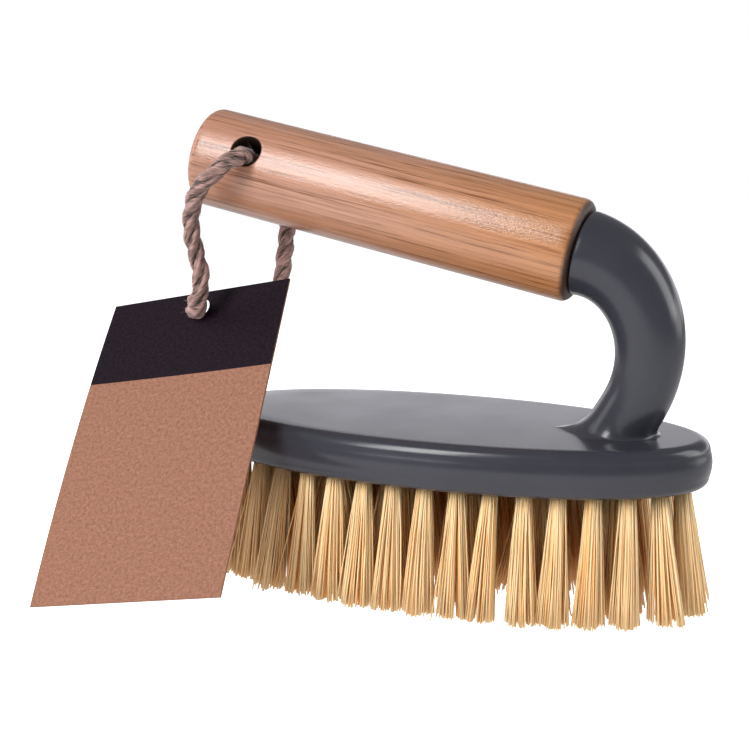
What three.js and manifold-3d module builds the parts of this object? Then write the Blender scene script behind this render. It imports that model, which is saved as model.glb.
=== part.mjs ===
// Bathroom scrubbing brush: an oval moulded head with a swan neck, a round bamboo grip on the neck,
// bristle tufts held by metal anchors, and a twine loop through the grip that carries a card tag.
// Millimetres, +Z up. The origin is under the middle of the brush, on the plane of the bristle tips.
import * as THREE from "three";
import { mergeVertices } from "three/addons/utils/BufferGeometryUtils.js";
import Module from "manifold-3d";

const wasm = await Module();
wasm.setup();

// Fits
const fitGap = 0.3;
const overlap = 1;
const cutterMargin = 2;

// Head
const headLength = 146;
const headWidth = 65.7;
const headThickness = 12.9;
const headCentreX = 1.95;
const headEgg = 0.011;
const headSquareness = 0.019;
const topEdgeRadius = 3.2;
const bottomEdgeRadius = 2.8;
const sideBulge = 0.6;

// Neck: a round bar that leaves the grip along its axis, turns down and spreads into a pointed foot
const shoulderRadius = 11.5;
const shoulderChamfer = 0.6;
const neckRootRadius = 8.7;
const neckTaperPower = 1.47;
const neckReach = 15.8;
const neckRootX = 53.5;
const neckRootRise = 7.5;
const neckRootLean = 28.3;
const neckRootPull = 19.2;
const footMiddleX = 46;
const footToeLength = 14;
const footHeelLength = 15.5;
const footHalfWidth = 9.8;
const footFillet = 1.6;
const footToeSweep = 6;
const footToePoint = 1.4;
const footSink = 0.25;
const footLeave = 0.42;
const footCore = 0.7;

// Grip
const gripDiameter = 28;
const gripLength = 114.2;
const gripEdgeRadius = 2.6;
const gripNeckEdgeLength = 3.6;
const gripTilt = 11.73;
const gripEndX = 39.43;
const gripEndRise = 47.95;
const spigotRadius = 8;
const spigotLength = 26;
const boreEndGap = 1;
const cordHoleDiameter = 8.5;
const cordHoleFromEnd = 17.3;
const cordHoleRoll = 26;

// Tufts
const bristleLength = 34.3;
const tuftPlateThickness = 3;
const tuftPlateRim = 0.5;
const outerRowInset = 7;
const middleRowInset = 18;
const outerTufts = 34;
const outerTuftOffset = 0.75;
const middleTufts = 12;
const middleTuftOffset = 0.5;
const innerTufts = 4;
const innerTuftPitch = 18;
const outerLean = 4.3;
const middleLean = 2;
const strandsAround = 6;
const strandRadius = 0.6;
const tuftRootRing = 1.45;
const tuftTipRing = 3;
const anchorWidth = 3.2;
const anchorThickness = 0.5;
const anchorHeight = 2;

// Twine: from the knot up behind the grip, through its cross-hole, down in front of it,
// through the tag's hole and back into the knot
const twineDiameter = 5;
const twineSides = 10;
const twineSteps = 60;
const routeToTag = [
  [-57.5, 3.4, 74.6], [-54.6, 4.8, 77.0], [-53.6, 7.0, 80.6], [-53.8, 9.2, 84.4],
  [-54.3, 11.6, 88.4], [-55.0, 14.4, 92.6], [-55.8, 17.0, 97.0], [-56.5, 18.5, 101.0],
  [-57.0, 18.2, 104.6], [-57.1, 15.9, 107.3], [-56.8, 12.2, 109.1], [-56.4, 8.0, 111.0],
  [-55.6, 0, 114.8], [-55.0, -7.6, 117.6], [-54.6, -13.3, 119.4], [-55.0, -17.4, 119.0],
  [-57.0, -20.4, 117.2], [-60.3, -21.3, 114.7], [-64.0, -20.7, 111.5], [-66.7, -19.7, 107.9],
  [-68.4, -18.6, 103.9], [-69.3, -17.6, 100.0], [-69.4, -16.3, 95.5], [-69.0, -15.2, 91.0],
  [-68.3, -14.6, 86.8], [-68.4, -14.3, 82.8], [-70.1, -12.9, 78.7], [-72.5, -9.8, 75.5],
];
const tagSeat = [-74.4, -6.8, 73.3];
const routeToKnot = [
  [-74.5, -4.6, 71.1], [-73.5, -3.0, 69.3], [-71.7, -1.9, 68.2], [-69.2, -1.0, 68.1],
  [-66.4, 0.0, 69.2],
];

// Knot
const knotRadius = 5.2;
const knotShoulder = 0.85;
const knotShoulderAt = 0.22;
const knotEndGap = 0.6;
const knotTailLength = 11;
const knotTailDirections = [[0.45, 0.55, -0.7], [-0.15, 0.75, -0.65]];

// Tag
const tagWidth = 61;
const tagHeight = 98;
const tagThickness = 0.6;
const tagHoleDiameter = 7;
const tagHoleFromTop = 6.8;
const tagYaw = -13.2;
const tagLean = -40.8;
const tagRoll = -15.2;

// Smoothness, in sides and steps
const headSides = 72;
const plateSides = 60;
const edgeSteps = 4;
const sideSteps = 4;
const neckSides = 28;
const neckSteps = 14;
const footSteps = 7;
const gripSides = 40;
const gripEdgeSteps = 4;
const holeSides = 24;
const knotSteps = 8;

// Levels and radii that follow from them
const headBottom = bristleLength;
const headTop = headBottom + headThickness;
const plateTop = headBottom + tuftPlateThickness;
const recessTop = plateTop + fitGap;
const tuftPlateInset = outerRowInset - tuftRootRing - strandRadius - tuftPlateRim;
const plateSplitInset = (outerRowInset + middleRowInset) / 2;
const anchorBottom = recessTop + fitGap;
const anchorTop = anchorBottom + anchorHeight;
const gripRadius = gripDiameter / 2;
const twineRadius = twineDiameter / 2;
const radians = THREE.MathUtils.degToRad;
const goldenAngle = Math.PI * (3 - Math.sqrt(5));

const plastic = new THREE.MeshStandardMaterial({ color: 0x4a4b50, roughness: 0.22, metalness: 0 });
const bamboo = new THREE.MeshStandardMaterial({ color: 0xb27a4a, roughness: 0.35, metalness: 0 });
const bristle = new THREE.MeshStandardMaterial({ color: 0xdcb777, roughness: 0.55, metalness: 0 });
const anchorMetal = new THREE.MeshStandardMaterial({ color: 0xb9bcc0, roughness: 0.3, metalness: 1 });
const jute = new THREE.MeshStandardMaterial({ color: 0x8d7765, roughness: 0.9, metalness: 0 });
const card = new THREE.MeshStandardMaterial({ color: 0xb98b68, roughness: 0.85, metalness: 0 });

// Closed solids for joining and cutting

function toSolid(geometry) {
  const bare = geometry.clone();
  bare.deleteAttribute("normal");
  bare.deleteAttribute("uv");
  const merged = mergeVertices(bare);
  return new wasm.Manifold(new wasm.Mesh({
    numProp: 3,
    vertProperties: Float32Array.from(merged.attributes.position.array),
    triVerts: Uint32Array.from(merged.index.array),
  }));
}

function toGeometry(solid) {
  const { vertProperties, triVerts } = solid.getMesh();
  const geometry = new THREE.BufferGeometry();
  geometry.setAttribute("position", new THREE.BufferAttribute(vertProperties, 3));
  geometry.setIndex(new THREE.BufferAttribute(triVerts, 1));
  geometry.computeVertexNormals();
  return geometry;
}

function named(name, geometry, material) {
  const mesh = new THREE.Mesh(geometry, material);
  mesh.name = name;
  return mesh;
}

// A skin over rings of points that run anticlockwise about the way they follow each other, capped
// at both ends
function loft(rings) {
  const sides = rings[0].length;
  const points = rings.flat();
  const triangles = [];
  for (let i = 0; i + 1 < rings.length; i += 1) {
    for (let j = 0; j < sides; j += 1) {
      const next = (j + 1) % sides;
      const [a, b] = [i * sides + j, i * sides + next];
      triangles.push(a, b, b + sides, a, b + sides, a + sides);
    }
  }
  for (const [ring, first] of [[rings[0], true], [rings.at(-1), false]]) {
    const centre = ring.reduce((sum, p) => sum.add(p), new THREE.Vector3()).divideScalar(sides);
    const start = first ? 0 : (rings.length - 1) * sides;
    const hub = points.push(centre) - 1;
    for (let j = 0; j < sides; j += 1) {
      const [a, b] = [start + j, start + ((j + 1) % sides)];
      triangles.push(hub, first ? b : a, first ? a : b);
    }
  }
  const geometry = new THREE.BufferGeometry().setFromPoints(points);
  geometry.setIndex(triangles);
  return geometry;
}

// The head's outline seen from above, drawn in by an inset: an ellipse, a little squarer and
// a little wider towards the free end of the grip
class HeadOutline extends THREE.Curve {
  constructor(inset) {
    super();
    this.halfLength = headLength / 2 - inset;
    this.halfWidth = (headWidth / 2 - inset) / (1 - headSquareness);
  }

  getPoint(t, target = new THREE.Vector3()) {
    const u = 2 * Math.PI * t;
    const swell = 1 - headEgg * Math.cos(u) + headSquareness * Math.cos(2 * u);
    const y = this.halfWidth * Math.sin(u) * swell;
    return target.set(headCentreX + this.halfLength * Math.cos(u), y, 0);
  }

  ring(z, sides) {
    const share = (i) => this.getPoint(i / sides).setZ(z);
    return Array.from({ length: sides }, (_, i) => share(i));
  }
}

function outlineBlock(inset, bottom, top) {
  const outline = new HeadOutline(inset);
  return toSolid(loft([outline.ring(bottom, plateSides), outline.ring(top, plateSides)]));
}

// Tufts: an outer row, a middle row and a short straight row, each with its own outward lean

function rowTufts(inset, count, offset, lean) {
  const outline = new HeadOutline(inset);
  return Array.from({ length: count }, (_, i) => {
    const share = (i + offset) / count;
    const root = outline.getPointAt(share);
    const along = outline.getTangentAt(share);
    const out = new THREE.Vector3(along.y, -along.x, 0).multiplyScalar(lean);
    return { root, tip: root.clone().add(out) };
  });
}

function straightTufts() {
  return Array.from({ length: innerTufts }, (_, i) => {
    const root = new THREE.Vector3(headCentreX + (i - (innerTufts - 1) / 2) * innerTuftPitch, 0, 0);
    return { root, tip: root.clone() };
  });
}

const outerRow = rowTufts(outerRowInset, outerTufts, outerTuftOffset, outerLean);
const middleRow = rowTufts(middleRowInset, middleTufts, middleTuftOffset, middleLean);
const innerRows = [...middleRow, ...straightTufts()];
const allTufts = [...outerRow, ...innerRows];

// The strands of a tuft spread from its root to its tip in straight lines that never cross,
// and end level with the surface that the brush stands on
function strandPrisms(tufts) {
  const points = [];
  const triangles = [];
  const rootLevel = headBottom + overlap;
  tufts.forEach(({ root, tip }, n) => {
    for (let k = 0; k <= strandsAround; k += 1) {
      const angle = n * goldenAngle + (2 * Math.PI * k) / strandsAround;
      const ring = k < strandsAround ? 1 : 0;
      const start = points.length;
      for (const [centre, spread, z] of [[tip, tuftTipRing, 0], [root, tuftRootRing, rootLevel]]) {
        for (let corner = 0; corner < 3; corner += 1) {
          const turn = angle + (2 * Math.PI * corner) / 3;
          points.push(new THREE.Vector3(
            centre.x + ring * spread * Math.cos(angle) + strandRadius * Math.cos(turn),
            centre.y + ring * spread * Math.sin(angle) + strandRadius * Math.sin(turn),
            z,
          ));
        }
      }
      triangles.push(start, start + 2, start + 1, start + 3, start + 4, start + 5);
      for (let side = 0; side < 3; side += 1) {
        const [a, b] = [start + side, start + ((side + 1) % 3)];
        triangles.push(a, b, b + 3, a, b + 3, a + 3);
      }
    }
  });
  const geometry = new THREE.BufferGeometry().setFromPoints(points);
  geometry.setIndex(triangles);
  return toSolid(geometry);
}

function halfSpace(direction) {
  const box = new THREE.BoxGeometry(headLength, headLength, headLength);
  const reach = (headLength + fitGap) / 2;
  box.translate(headCentreX + direction.x * reach, direction.y * reach, headBottom);
  return toSolid(box);
}

function bristleNode(name, plate, direction, tufts) {
  const mine = tufts.filter(({ root }) => (root.x - headCentreX) * direction.x + root.y * direction.y > 0);
  const slice = plate.intersect(halfSpace(direction)).add(strandPrisms(mine));
  return named(name, toGeometry(slice), bristle);
}

function bristleNodes() {
  const block = (inset) => outlineBlock(inset, headBottom, plateTop);
  const core = outlineBlock(plateSplitInset - fitGap / 2, headBottom - cutterMargin, plateTop + cutterMargin);
  const outerPlate = block(tuftPlateInset).subtract(core);
  const innerPlate = block(plateSplitInset + fitGap / 2);
  const [right, left] = [new THREE.Vector3(1, 0, 0), new THREE.Vector3(-1, 0, 0)];
  const [back, front] = [new THREE.Vector3(0, 1, 0), new THREE.Vector3(0, -1, 0)];
  return [
    bristleNode("front_bristles", outerPlate, front, outerRow),
    bristleNode("back_bristles", outerPlate, back, outerRow),
    bristleNode("inner_bristles_left", innerPlate, left, innerRows),
    bristleNode("inner_bristles_right", innerPlate, right, innerRows),
  ];
}

function anchorBlock(root, gap, bottom, top) {
  const box = new THREE.BoxGeometry(anchorWidth + 2 * gap, anchorThickness + 2 * gap, top - bottom);
  return box.translate(root.x, root.y, (bottom + top) / 2);
}

function anchorNodes() {
  return allTufts.map(({ root }, i) => {
    const name = `tuft_anchor_${String(i + 1).padStart(2, "0")}`;
    return named(name, anchorBlock(root, 0, anchorBottom, anchorTop), anchorMetal);
  });
}

// Grip frame: +Z runs along the grip from the neck to its free end, +X is the grip's upper side
const gripFrame = new THREE.Group();
gripFrame.position.set(gripEndX, 0, headTop + gripEndRise);
gripFrame.rotation.y = radians(gripTilt) - Math.PI / 2;
gripFrame.updateMatrix();
const neckStart = new THREE.Vector3(0, 0, -fitGap).applyMatrix4(gripFrame.matrix);
const gripAxis = new THREE.Vector3(0, 0, 1).transformDirection(gripFrame.matrix);

// Body: head, neck and spigot in one moulding, with a recess for the tuft plates and anchor pockets

// The head's side swells a little between its rounded edges
function headSolid() {
  const rings = [];
  const [low, high] = [headBottom + bottomEdgeRadius, headTop - topEdgeRadius];
  for (let i = 0; i < edgeSteps; i += 1) {
    const turn = (Math.PI / 2) * (i / edgeSteps);
    const inset = sideBulge + bottomEdgeRadius * (1 - Math.sin(turn));
    rings.push([inset, low - bottomEdgeRadius * Math.cos(turn)]);
  }
  for (let i = 0; i <= sideSteps; i += 1) {
    const share = i / sideSteps;
    rings.push([sideBulge * (1 - 4 * share * (1 - share)), low + (high - low) * share]);
  }
  for (let i = 1; i <= edgeSteps; i += 1) {
    const turn = (Math.PI / 2) * (i / edgeSteps);
    const inset = sideBulge + topEdgeRadius * (1 - Math.cos(turn));
    rings.push([inset, high + topEdgeRadius * Math.sin(turn)]);
  }
  return toSolid(loft(rings.map(([inset, z]) => new HeadOutline(inset).ring(z, headSides))));
}

// A ring of the neck, square to its way: angle 0 is on the inside of the bend, over the toe
function neckRing(centre, way, radius) {
  const side = new THREE.Vector3(0, 1, 0);
  const inner = new THREE.Vector3().crossVectors(side, way);
  return Array.from({ length: neckSides }, (_, j) => {
    const angle = (2 * Math.PI * j) / neckSides;
    return centre.clone()
      .addScaledVector(inner, radius * Math.cos(angle))
      .addScaledVector(side, radius * Math.sin(angle));
  });
}

// The foot's edge on the head: pointed at the toe, round at the heel
function footEdge(angle) {
  const [c, s] = [Math.cos(angle), Math.sin(angle)];
  const toe = -footToeLength * (1 - Math.abs(s) ** footToePoint);
  const x = footMiddleX + (c > 0 ? toe : -footHeelLength * c);
  return new THREE.Vector3(x, footHalfWidth * s, headTop - footSink);
}

function neckSolid() {
  const lean = radians(neckRootLean);
  const rootWay = new THREE.Vector3(-Math.sin(lean), 0, -Math.cos(lean));
  const root = new THREE.Vector3(neckRootX, 0, headTop + neckRootRise);
  const bend = new THREE.CubicBezierCurve3(
    neckStart,
    neckStart.clone().addScaledVector(gripAxis, -neckReach),
    root.clone().addScaledVector(rootWay, -neckRootPull),
    root,
  );
  const rings = [neckRing(neckStart, gripAxis.clone().negate(), shoulderRadius - shoulderChamfer)];
  for (let i = 0; i <= neckSteps; i += 1) {
    const t = i / neckSteps;
    const swell = (shoulderRadius - neckRootRadius) * (1 - t) ** neckTaperPower;
    const way = bend.getTangent(t);
    const shift = i === 0 ? shoulderChamfer : 0;
    rings.push(neckRing(bend.getPoint(t).addScaledVector(way, shift), way, neckRootRadius + swell));
  }
  const rootRing = rings.at(-1);
  const middle = new THREE.Vector3(footMiddleX, 0, headTop - footSink);
  const profiles = rootRing.map((from, j) => {
    const angle = (2 * Math.PI * j) / neckSides;
    const to = footEdge(angle);
    const sweep = footFillet + (footToeSweep - footFillet) * Math.max(0, Math.cos(angle)) ** 2;
    const inward = middle.clone().sub(to).normalize();
    const leave = from.clone().addScaledVector(rootWay, footLeave * from.distanceTo(to));
    return new THREE.CubicBezierCurve3(from, leave, to.clone().addScaledVector(inward, sweep), to);
  });
  for (let i = 1; i <= footSteps; i += 1) {
    rings.push(profiles.map((profile) => profile.getPoint(i / footSteps)));
  }
  const sunk = (p) => middle.clone().lerp(p, footCore).setZ(headTop - topEdgeRadius);
  rings.push(rings.at(-1).map(sunk));
  return toSolid(loft(rings));
}

function spigotSolid() {
  const length = spigotLength + fitGap + overlap;
  const spigot = new THREE.CylinderGeometry(spigotRadius, spigotRadius, length, gripSides);
  spigot.rotateX(Math.PI / 2);
  spigot.translate(0, 0, spigotLength - length / 2);
  return toSolid(spigot.applyMatrix4(gripFrame.matrix));
}

function brushBody() {
  const recess = outlineBlock(tuftPlateInset - fitGap, headBottom - cutterMargin, recessTop);
  let body = headSolid().add(neckSolid()).add(spigotSolid()).subtract(recess);
  for (const { root } of allTufts) {
    const pocket = anchorBlock(root, fitGap, recessTop - fitGap, anchorTop + fitGap);
    body = body.subtract(toSolid(pocket));
  }
  return named("brush_body", toGeometry(body), plastic);
}

// Grip: a turned bar with a blind bore for the spigot and a cross-hole for the twine

function roundedEdge(centreZ, fromTurn, edgeLength) {
  return Array.from({ length: gripEdgeSteps + 1 }, (_, i) => {
    const turn = fromTurn + (Math.PI / 2) * (i / gripEdgeSteps);
    const radius = gripRadius - gripEdgeRadius * (1 - Math.cos(turn));
    return new THREE.Vector2(radius, centreZ + edgeLength * Math.sin(turn));
  });
}

function bambooGrip() {
  const boreRadius = spigotRadius + fitGap;
  const boreDepth = spigotLength + boreEndGap;
  const profile = [
    new THREE.Vector2(0, boreDepth),
    new THREE.Vector2(boreRadius, boreDepth),
    new THREE.Vector2(boreRadius, 0),
    ...roundedEdge(gripNeckEdgeLength, -Math.PI / 2, gripNeckEdgeLength),
    ...roundedEdge(gripLength - gripEdgeRadius, 0, gripEdgeRadius),
    new THREE.Vector2(0, gripLength),
  ];
  const bar = new THREE.LatheGeometry(profile, gripSides).rotateX(Math.PI / 2);
  const holeRadius = cordHoleDiameter / 2;
  const hole = new THREE.CylinderGeometry(holeRadius, holeRadius, gripDiameter + 2 * cutterMargin, holeSides);
  hole.rotateZ(radians(cordHoleRoll));
  hole.translate(0, 0, gripLength - cordHoleFromEnd);
  return named("bamboo_grip", toGeometry(toSolid(bar).subtract(toSolid(hole))), bamboo);
}

// Twine loop, its knot and the tag on it

const routePoints = [...routeToTag, tagSeat, ...routeToKnot].map((p) => new THREE.Vector3(...p));

function juteTwine() {
  const path = new THREE.CatmullRomCurve3(routePoints, false, "catmullrom");
  const section = new THREE.Shape().absarc(0, 0, twineRadius, 0, 2 * Math.PI);
  const options = { steps: twineSteps, curveSegments: twineSides / 2, extrudePath: path };
  return named("jute_twine", new THREE.ExtrudeGeometry(section, options), jute);
}

function twineKnot() {
  const [start, end] = [routePoints[0], routePoints.at(-1)];
  const length = start.distanceTo(end) - 2 * knotEndGap;
  const profile = new THREE.SplineCurve([
    new THREE.Vector2(twineRadius, 0),
    new THREE.Vector2(knotShoulder * knotRadius, knotShoulderAt * length),
    new THREE.Vector2(knotRadius, length / 2),
    new THREE.Vector2(knotShoulder * knotRadius, (1 - knotShoulderAt) * length),
    new THREE.Vector2(twineRadius, length),
  ]).getPoints(knotSteps);
  const ends = [new THREE.Vector2(0, 0), new THREE.Vector2(0, length)];
  const belly = new THREE.LatheGeometry([ends[0], ...profile, ends[1]], twineSides);
  const upright = new THREE.Vector3(0, 1, 0);
  const along = end.clone().sub(start).normalize();
  const base = start.clone().addScaledVector(along, knotEndGap);
  belly.applyQuaternion(new THREE.Quaternion().setFromUnitVectors(upright, along));
  belly.translate(base.x, base.y, base.z);
  let knot = toSolid(belly);
  const middle = start.clone().lerp(end, 0.5);
  for (const direction of knotTailDirections) {
    const way = new THREE.Vector3(...direction).normalize();
    const tail = new THREE.CylinderGeometry(twineRadius, twineRadius, knotTailLength, twineSides);
    tail.translate(0, knotTailLength / 2, 0);
    tail.applyQuaternion(new THREE.Quaternion().setFromUnitVectors(upright, way));
    tail.translate(middle.x, middle.y, middle.z);
    knot = knot.add(toSolid(tail));
  }
  return named("twine_knot", toGeometry(knot), jute);
}

function swingTag() {
  const top = tagHoleFromTop;
  const bottom = tagHoleFromTop - tagHeight;
  const outline = new THREE.Shape()
    .moveTo(-tagWidth / 2, bottom)
    .lineTo(tagWidth / 2, bottom)
    .lineTo(tagWidth / 2, top)
    .lineTo(-tagWidth / 2, top);
  outline.holes.push(new THREE.Path().absarc(0, 0, tagHoleDiameter / 2, 0, 2 * Math.PI));
  const options = { depth: tagThickness, bevelEnabled: false, curveSegments: holeSides / 2 };
  const sheet = new THREE.ExtrudeGeometry(outline, options);
  sheet.translate(0, 0, -tagThickness / 2).rotateX(Math.PI / 2);
  const tag = named("swing_tag", sheet, card);
  tag.position.set(...tagSeat);
  tag.rotation.set(radians(tagLean), radians(tagRoll), radians(tagYaw), "ZXY");
  return tag;
}

const brush = new THREE.Group();
brush.add(brushBody(), ...bristleNodes(), ...anchorNodes());
gripFrame.add(bambooGrip());
brush.add(gripFrame, juteTwine(), twineKnot(), swingTag());

export default brush;
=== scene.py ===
"""Bathroom scrubbing brush: a glossy moulded head on a swan neck, a lacquered bamboo grip, straw coloured
bristle tufts, and a jute loop that carries a kraft card tag. All lengths are in metres, +Z is up, and the
brush stands on its bristle tips at z = 0 with the neck towards +X."""
import math

import bpy
import numpy as np
from bpy.props import FloatProperty, FloatVectorProperty, IntProperty, PointerProperty
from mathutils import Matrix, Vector


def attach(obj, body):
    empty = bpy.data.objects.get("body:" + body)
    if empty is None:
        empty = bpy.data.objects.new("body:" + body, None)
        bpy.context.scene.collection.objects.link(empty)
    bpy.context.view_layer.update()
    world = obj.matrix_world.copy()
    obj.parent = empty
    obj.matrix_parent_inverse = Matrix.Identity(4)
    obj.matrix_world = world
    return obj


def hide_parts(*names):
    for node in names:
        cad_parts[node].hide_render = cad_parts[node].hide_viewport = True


bl_info = {
    "name": "Bathroom scrubbing brush",
    "version": (1, 0, 0),
    "blender": (4, 5, 0),
    "location": "View3D > Sidebar > Brush",
    "description": "Builds a scrubbing brush with a bamboo grip, a twine loop and a card tag",
    "category": "Object",
}

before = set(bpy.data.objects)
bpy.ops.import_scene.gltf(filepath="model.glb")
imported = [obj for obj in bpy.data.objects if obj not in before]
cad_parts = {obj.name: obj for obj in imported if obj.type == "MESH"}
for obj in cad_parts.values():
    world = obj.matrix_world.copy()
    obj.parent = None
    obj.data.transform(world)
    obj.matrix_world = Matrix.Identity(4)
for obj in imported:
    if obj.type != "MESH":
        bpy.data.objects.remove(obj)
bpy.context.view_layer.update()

FULL_TURN = 2 * math.pi
GOLDEN_ANGLE = math.pi * (3 - math.sqrt(5))
THIRDS = np.arange(3) * 2 * math.pi / 3
ALONG_X = np.array([1.0, 0.0, 0.0])
UP = np.array([0.0, 0.0, 1.0])
ACROSS = np.array([0.0, 1.0, 0.0])

# The twine's way: up behind the grip, through its cross-hole, down in front, through the tag, to the knot
TWINE_ROUTE = 0.001 * np.array([
    (-57.5, 3.4, 74.6), (-54.6, 4.8, 77.0), (-53.6, 7.0, 80.6), (-53.8, 9.2, 84.4),
    (-54.3, 11.6, 88.4), (-55.0, 14.4, 92.6), (-55.8, 17.0, 97.0), (-56.5, 18.5, 101.0),
    (-57.0, 18.2, 104.6), (-57.1, 15.9, 107.3), (-56.8, 12.2, 109.1), (-56.4, 8.0, 111.0),
    (-55.6, 0.0, 114.8), (-55.0, -7.6, 117.6), (-54.6, -13.3, 119.4), (-55.0, -17.4, 119.0),
    (-57.0, -20.4, 117.2), (-60.3, -21.3, 114.7), (-64.0, -20.7, 111.5), (-66.7, -19.7, 107.9),
    (-68.4, -18.6, 103.9), (-69.3, -17.6, 100.0), (-69.4, -16.3, 95.5), (-69.0, -15.2, 91.0),
    (-68.3, -14.6, 86.8), (-68.4, -14.3, 82.8), (-70.1, -12.9, 78.7), (-72.5, -9.8, 75.5),
    (-74.4, -6.8, 73.3), (-74.5, -4.6, 71.1), (-73.5, -3.0, 69.3), (-71.7, -1.9, 68.2),
    (-69.2, -1.0, 68.1), (-66.4, 0.0, 69.2),
])
TAG_SEAT = 0.001 * np.array([-74.4, -6.8, 73.3])
FRAY_PLACE = 0.001 * np.array([-72.6, -9.8, 75.4])
TWINE_SPACING = 0.0004

SPIGOT_BEVEL = 0.0006
BORE_BEVEL = 0.0004

# Ranges of values in the materials: a noise pattern's usual one, and from nothing to all
NOISE_RANGE = (0.3, 0.7)
WHOLE_RANGE = (0.0, 1.0)
WHITE = (1.0, 1.0, 1.0)

# Numbers of a colour mix node's sockets
MIX_FACTOR = 0
MIX_COLOURS = (6, 7)
MIX_RESULT = 2


def length_property(name, description, default):
    return FloatProperty(name=name, description=description, default=default, min=0.0, unit="LENGTH")


def angle_property(name, description, degrees):
    return FloatProperty(name=name, description=description, default=math.radians(degrees), subtype="ANGLE")


def share_property(name, description, default):
    return FloatProperty(name=name, description=description, default=default, min=0.0, subtype="FACTOR")


def number_property(name, description, default, least=0.0):
    return FloatProperty(name=name, description=description, default=default, min=least)


def count_property(name, description, default, least):
    return IntProperty(name=name, description=description, default=default, min=least)


def place_property(name, description, default):
    return FloatVectorProperty(name=name, description=description, default=default, subtype="TRANSLATION")


def colour_property(name, description, default):
    return FloatVectorProperty(
        name=name, description=description, default=default, subtype="COLOR", min=0.0, max=1.0)


class HeadSettings(bpy.types.PropertyGroup):
    """Sizes and colour of the moulded head"""

    length: length_property("Length", "Head's length", 0.146)
    width: length_property("Width", "Head's greatest width", 0.0657)
    thickness: length_property("Thickness", "Head's thickness", 0.0129)
    underside: length_property("Underside", "Height of the head's underside", 0.0343)
    centre_x: length_property("Centre", "Middle of the head along X", 0.00195)
    egg: share_property("Egg", "How much wider the head is at the grip's free end", 0.011)
    squareness: share_property("Squareness", "How much squarer the outline is than an ellipse", 0.019)
    top_edge: length_property("Top edge", "Radius of the top edge", 0.0032)
    bottom_edge: length_property("Bottom edge", "Radius of the bottom edge", 0.0028)
    side_bulge: length_property("Side bulge", "How far the side swells out between its edges", 0.0006)
    colour: colour_property("Colour", "Grey of the moulding", (0.034, 0.035, 0.045))


class NeckSettings(bpy.types.PropertyGroup):
    """Sizes of the swan neck and its foot"""

    shoulder_radius: length_property("Shoulder", "Radius where the neck meets the grip", 0.0115)
    shoulder_edge: length_property("Shoulder edge", "Rounding of the shoulder's edge", 0.0009)
    shoulder_spread: share_property("Shoulder spread", "How much wider than high the shoulder is", 0.12)
    root_radius: length_property("Root", "Radius above the foot", 0.0087)
    taper_power: number_property("Taper", "How soon the neck thins out", 1.47, 0.1)
    reach: length_property("Reach", "How far the neck carries on along the grip", 0.0168)
    root_x: length_property("Root place", "Middle of the neck's root along X", 0.0535)
    root_rise: length_property("Root rise", "Height of the root over the head", 0.0075)
    root_lean: angle_property("Root lean", "Lean of the neck at its root", 28.3)
    root_pull: length_property("Root pull", "How long the neck keeps its lean", 0.0192)
    foot_middle: length_property("Foot middle", "Widest place of the foot along X", 0.046)
    toe_length: length_property("Toe", "Length of the pointed toe", 0.014)
    heel_length: length_property("Heel", "Length of the round heel", 0.0155)
    foot_half_width: length_property("Foot half width", "Half the foot's width", 0.0105)
    toe_point: number_property("Toe point", "Sharpness of the toe", 1.5, 0.1)
    foot_leave: share_property("Foot leave", "How long the foot's profile follows the neck", 0.5)
    spigot_radius: length_property("Spigot radius", "Radius of the spigot in the grip", 0.008)
    spigot_length: length_property("Spigot length", "Length of the spigot in the grip", 0.026)


class GripSettings(bpy.types.PropertyGroup):
    """Sizes and colours of the bamboo grip"""

    diameter: length_property("Diameter", "Grip's diameter", 0.028)
    length: length_property("Length", "Grip's length", 0.1132)
    edge: length_property("Edge", "Rounding of the grip's ends", 0.0026)
    tilt: angle_property("Tilt", "Rise of the grip towards its free end", 11.73)
    end_x: length_property("End place", "Middle of the neck end along X", 0.03845)
    end_z: length_property("End height", "Height of the neck end's middle", 0.09535)
    gap: length_property("Gap", "Gap between the grip and the neck", 0.0003)
    bore_radius: length_property("Bore radius", "Radius of the bore for the spigot", 0.0083)
    bore_depth: length_property("Bore depth", "Depth of the bore for the spigot", 0.027)
    hole_diameter: length_property("Hole", "Diameter of the cross-hole", 0.0085)
    hole_edge: length_property("Hole edge", "Rounding of the hole's edge", 0.0005)
    hole_from_end: length_property("Hole place", "Distance from the hole to the free end", 0.0173)
    hole_roll: angle_property("Hole roll", "Turn of the hole about the grip", 26.0)
    light: colour_property("Light fibres", "Bamboo between the dark fibres", (0.44, 0.236, 0.168))
    dark: colour_property("Dark fibres", "Dark bamboo fibres", (0.185, 0.072, 0.032))
    # Near black at the neck end: a dark seam plus painted shade of the gap beside the neck. It also paints
    # the shade in the cross-hole
    seam_and_shade: colour_property("Seam and painted shade", "Dark seam and painted shade at the neck end", (0.045, 0.018, 0.009))
    seam_and_shade_length: length_property("Seam and shade length", "Length of the dark seam and its painted shade", 0.0018)


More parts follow.
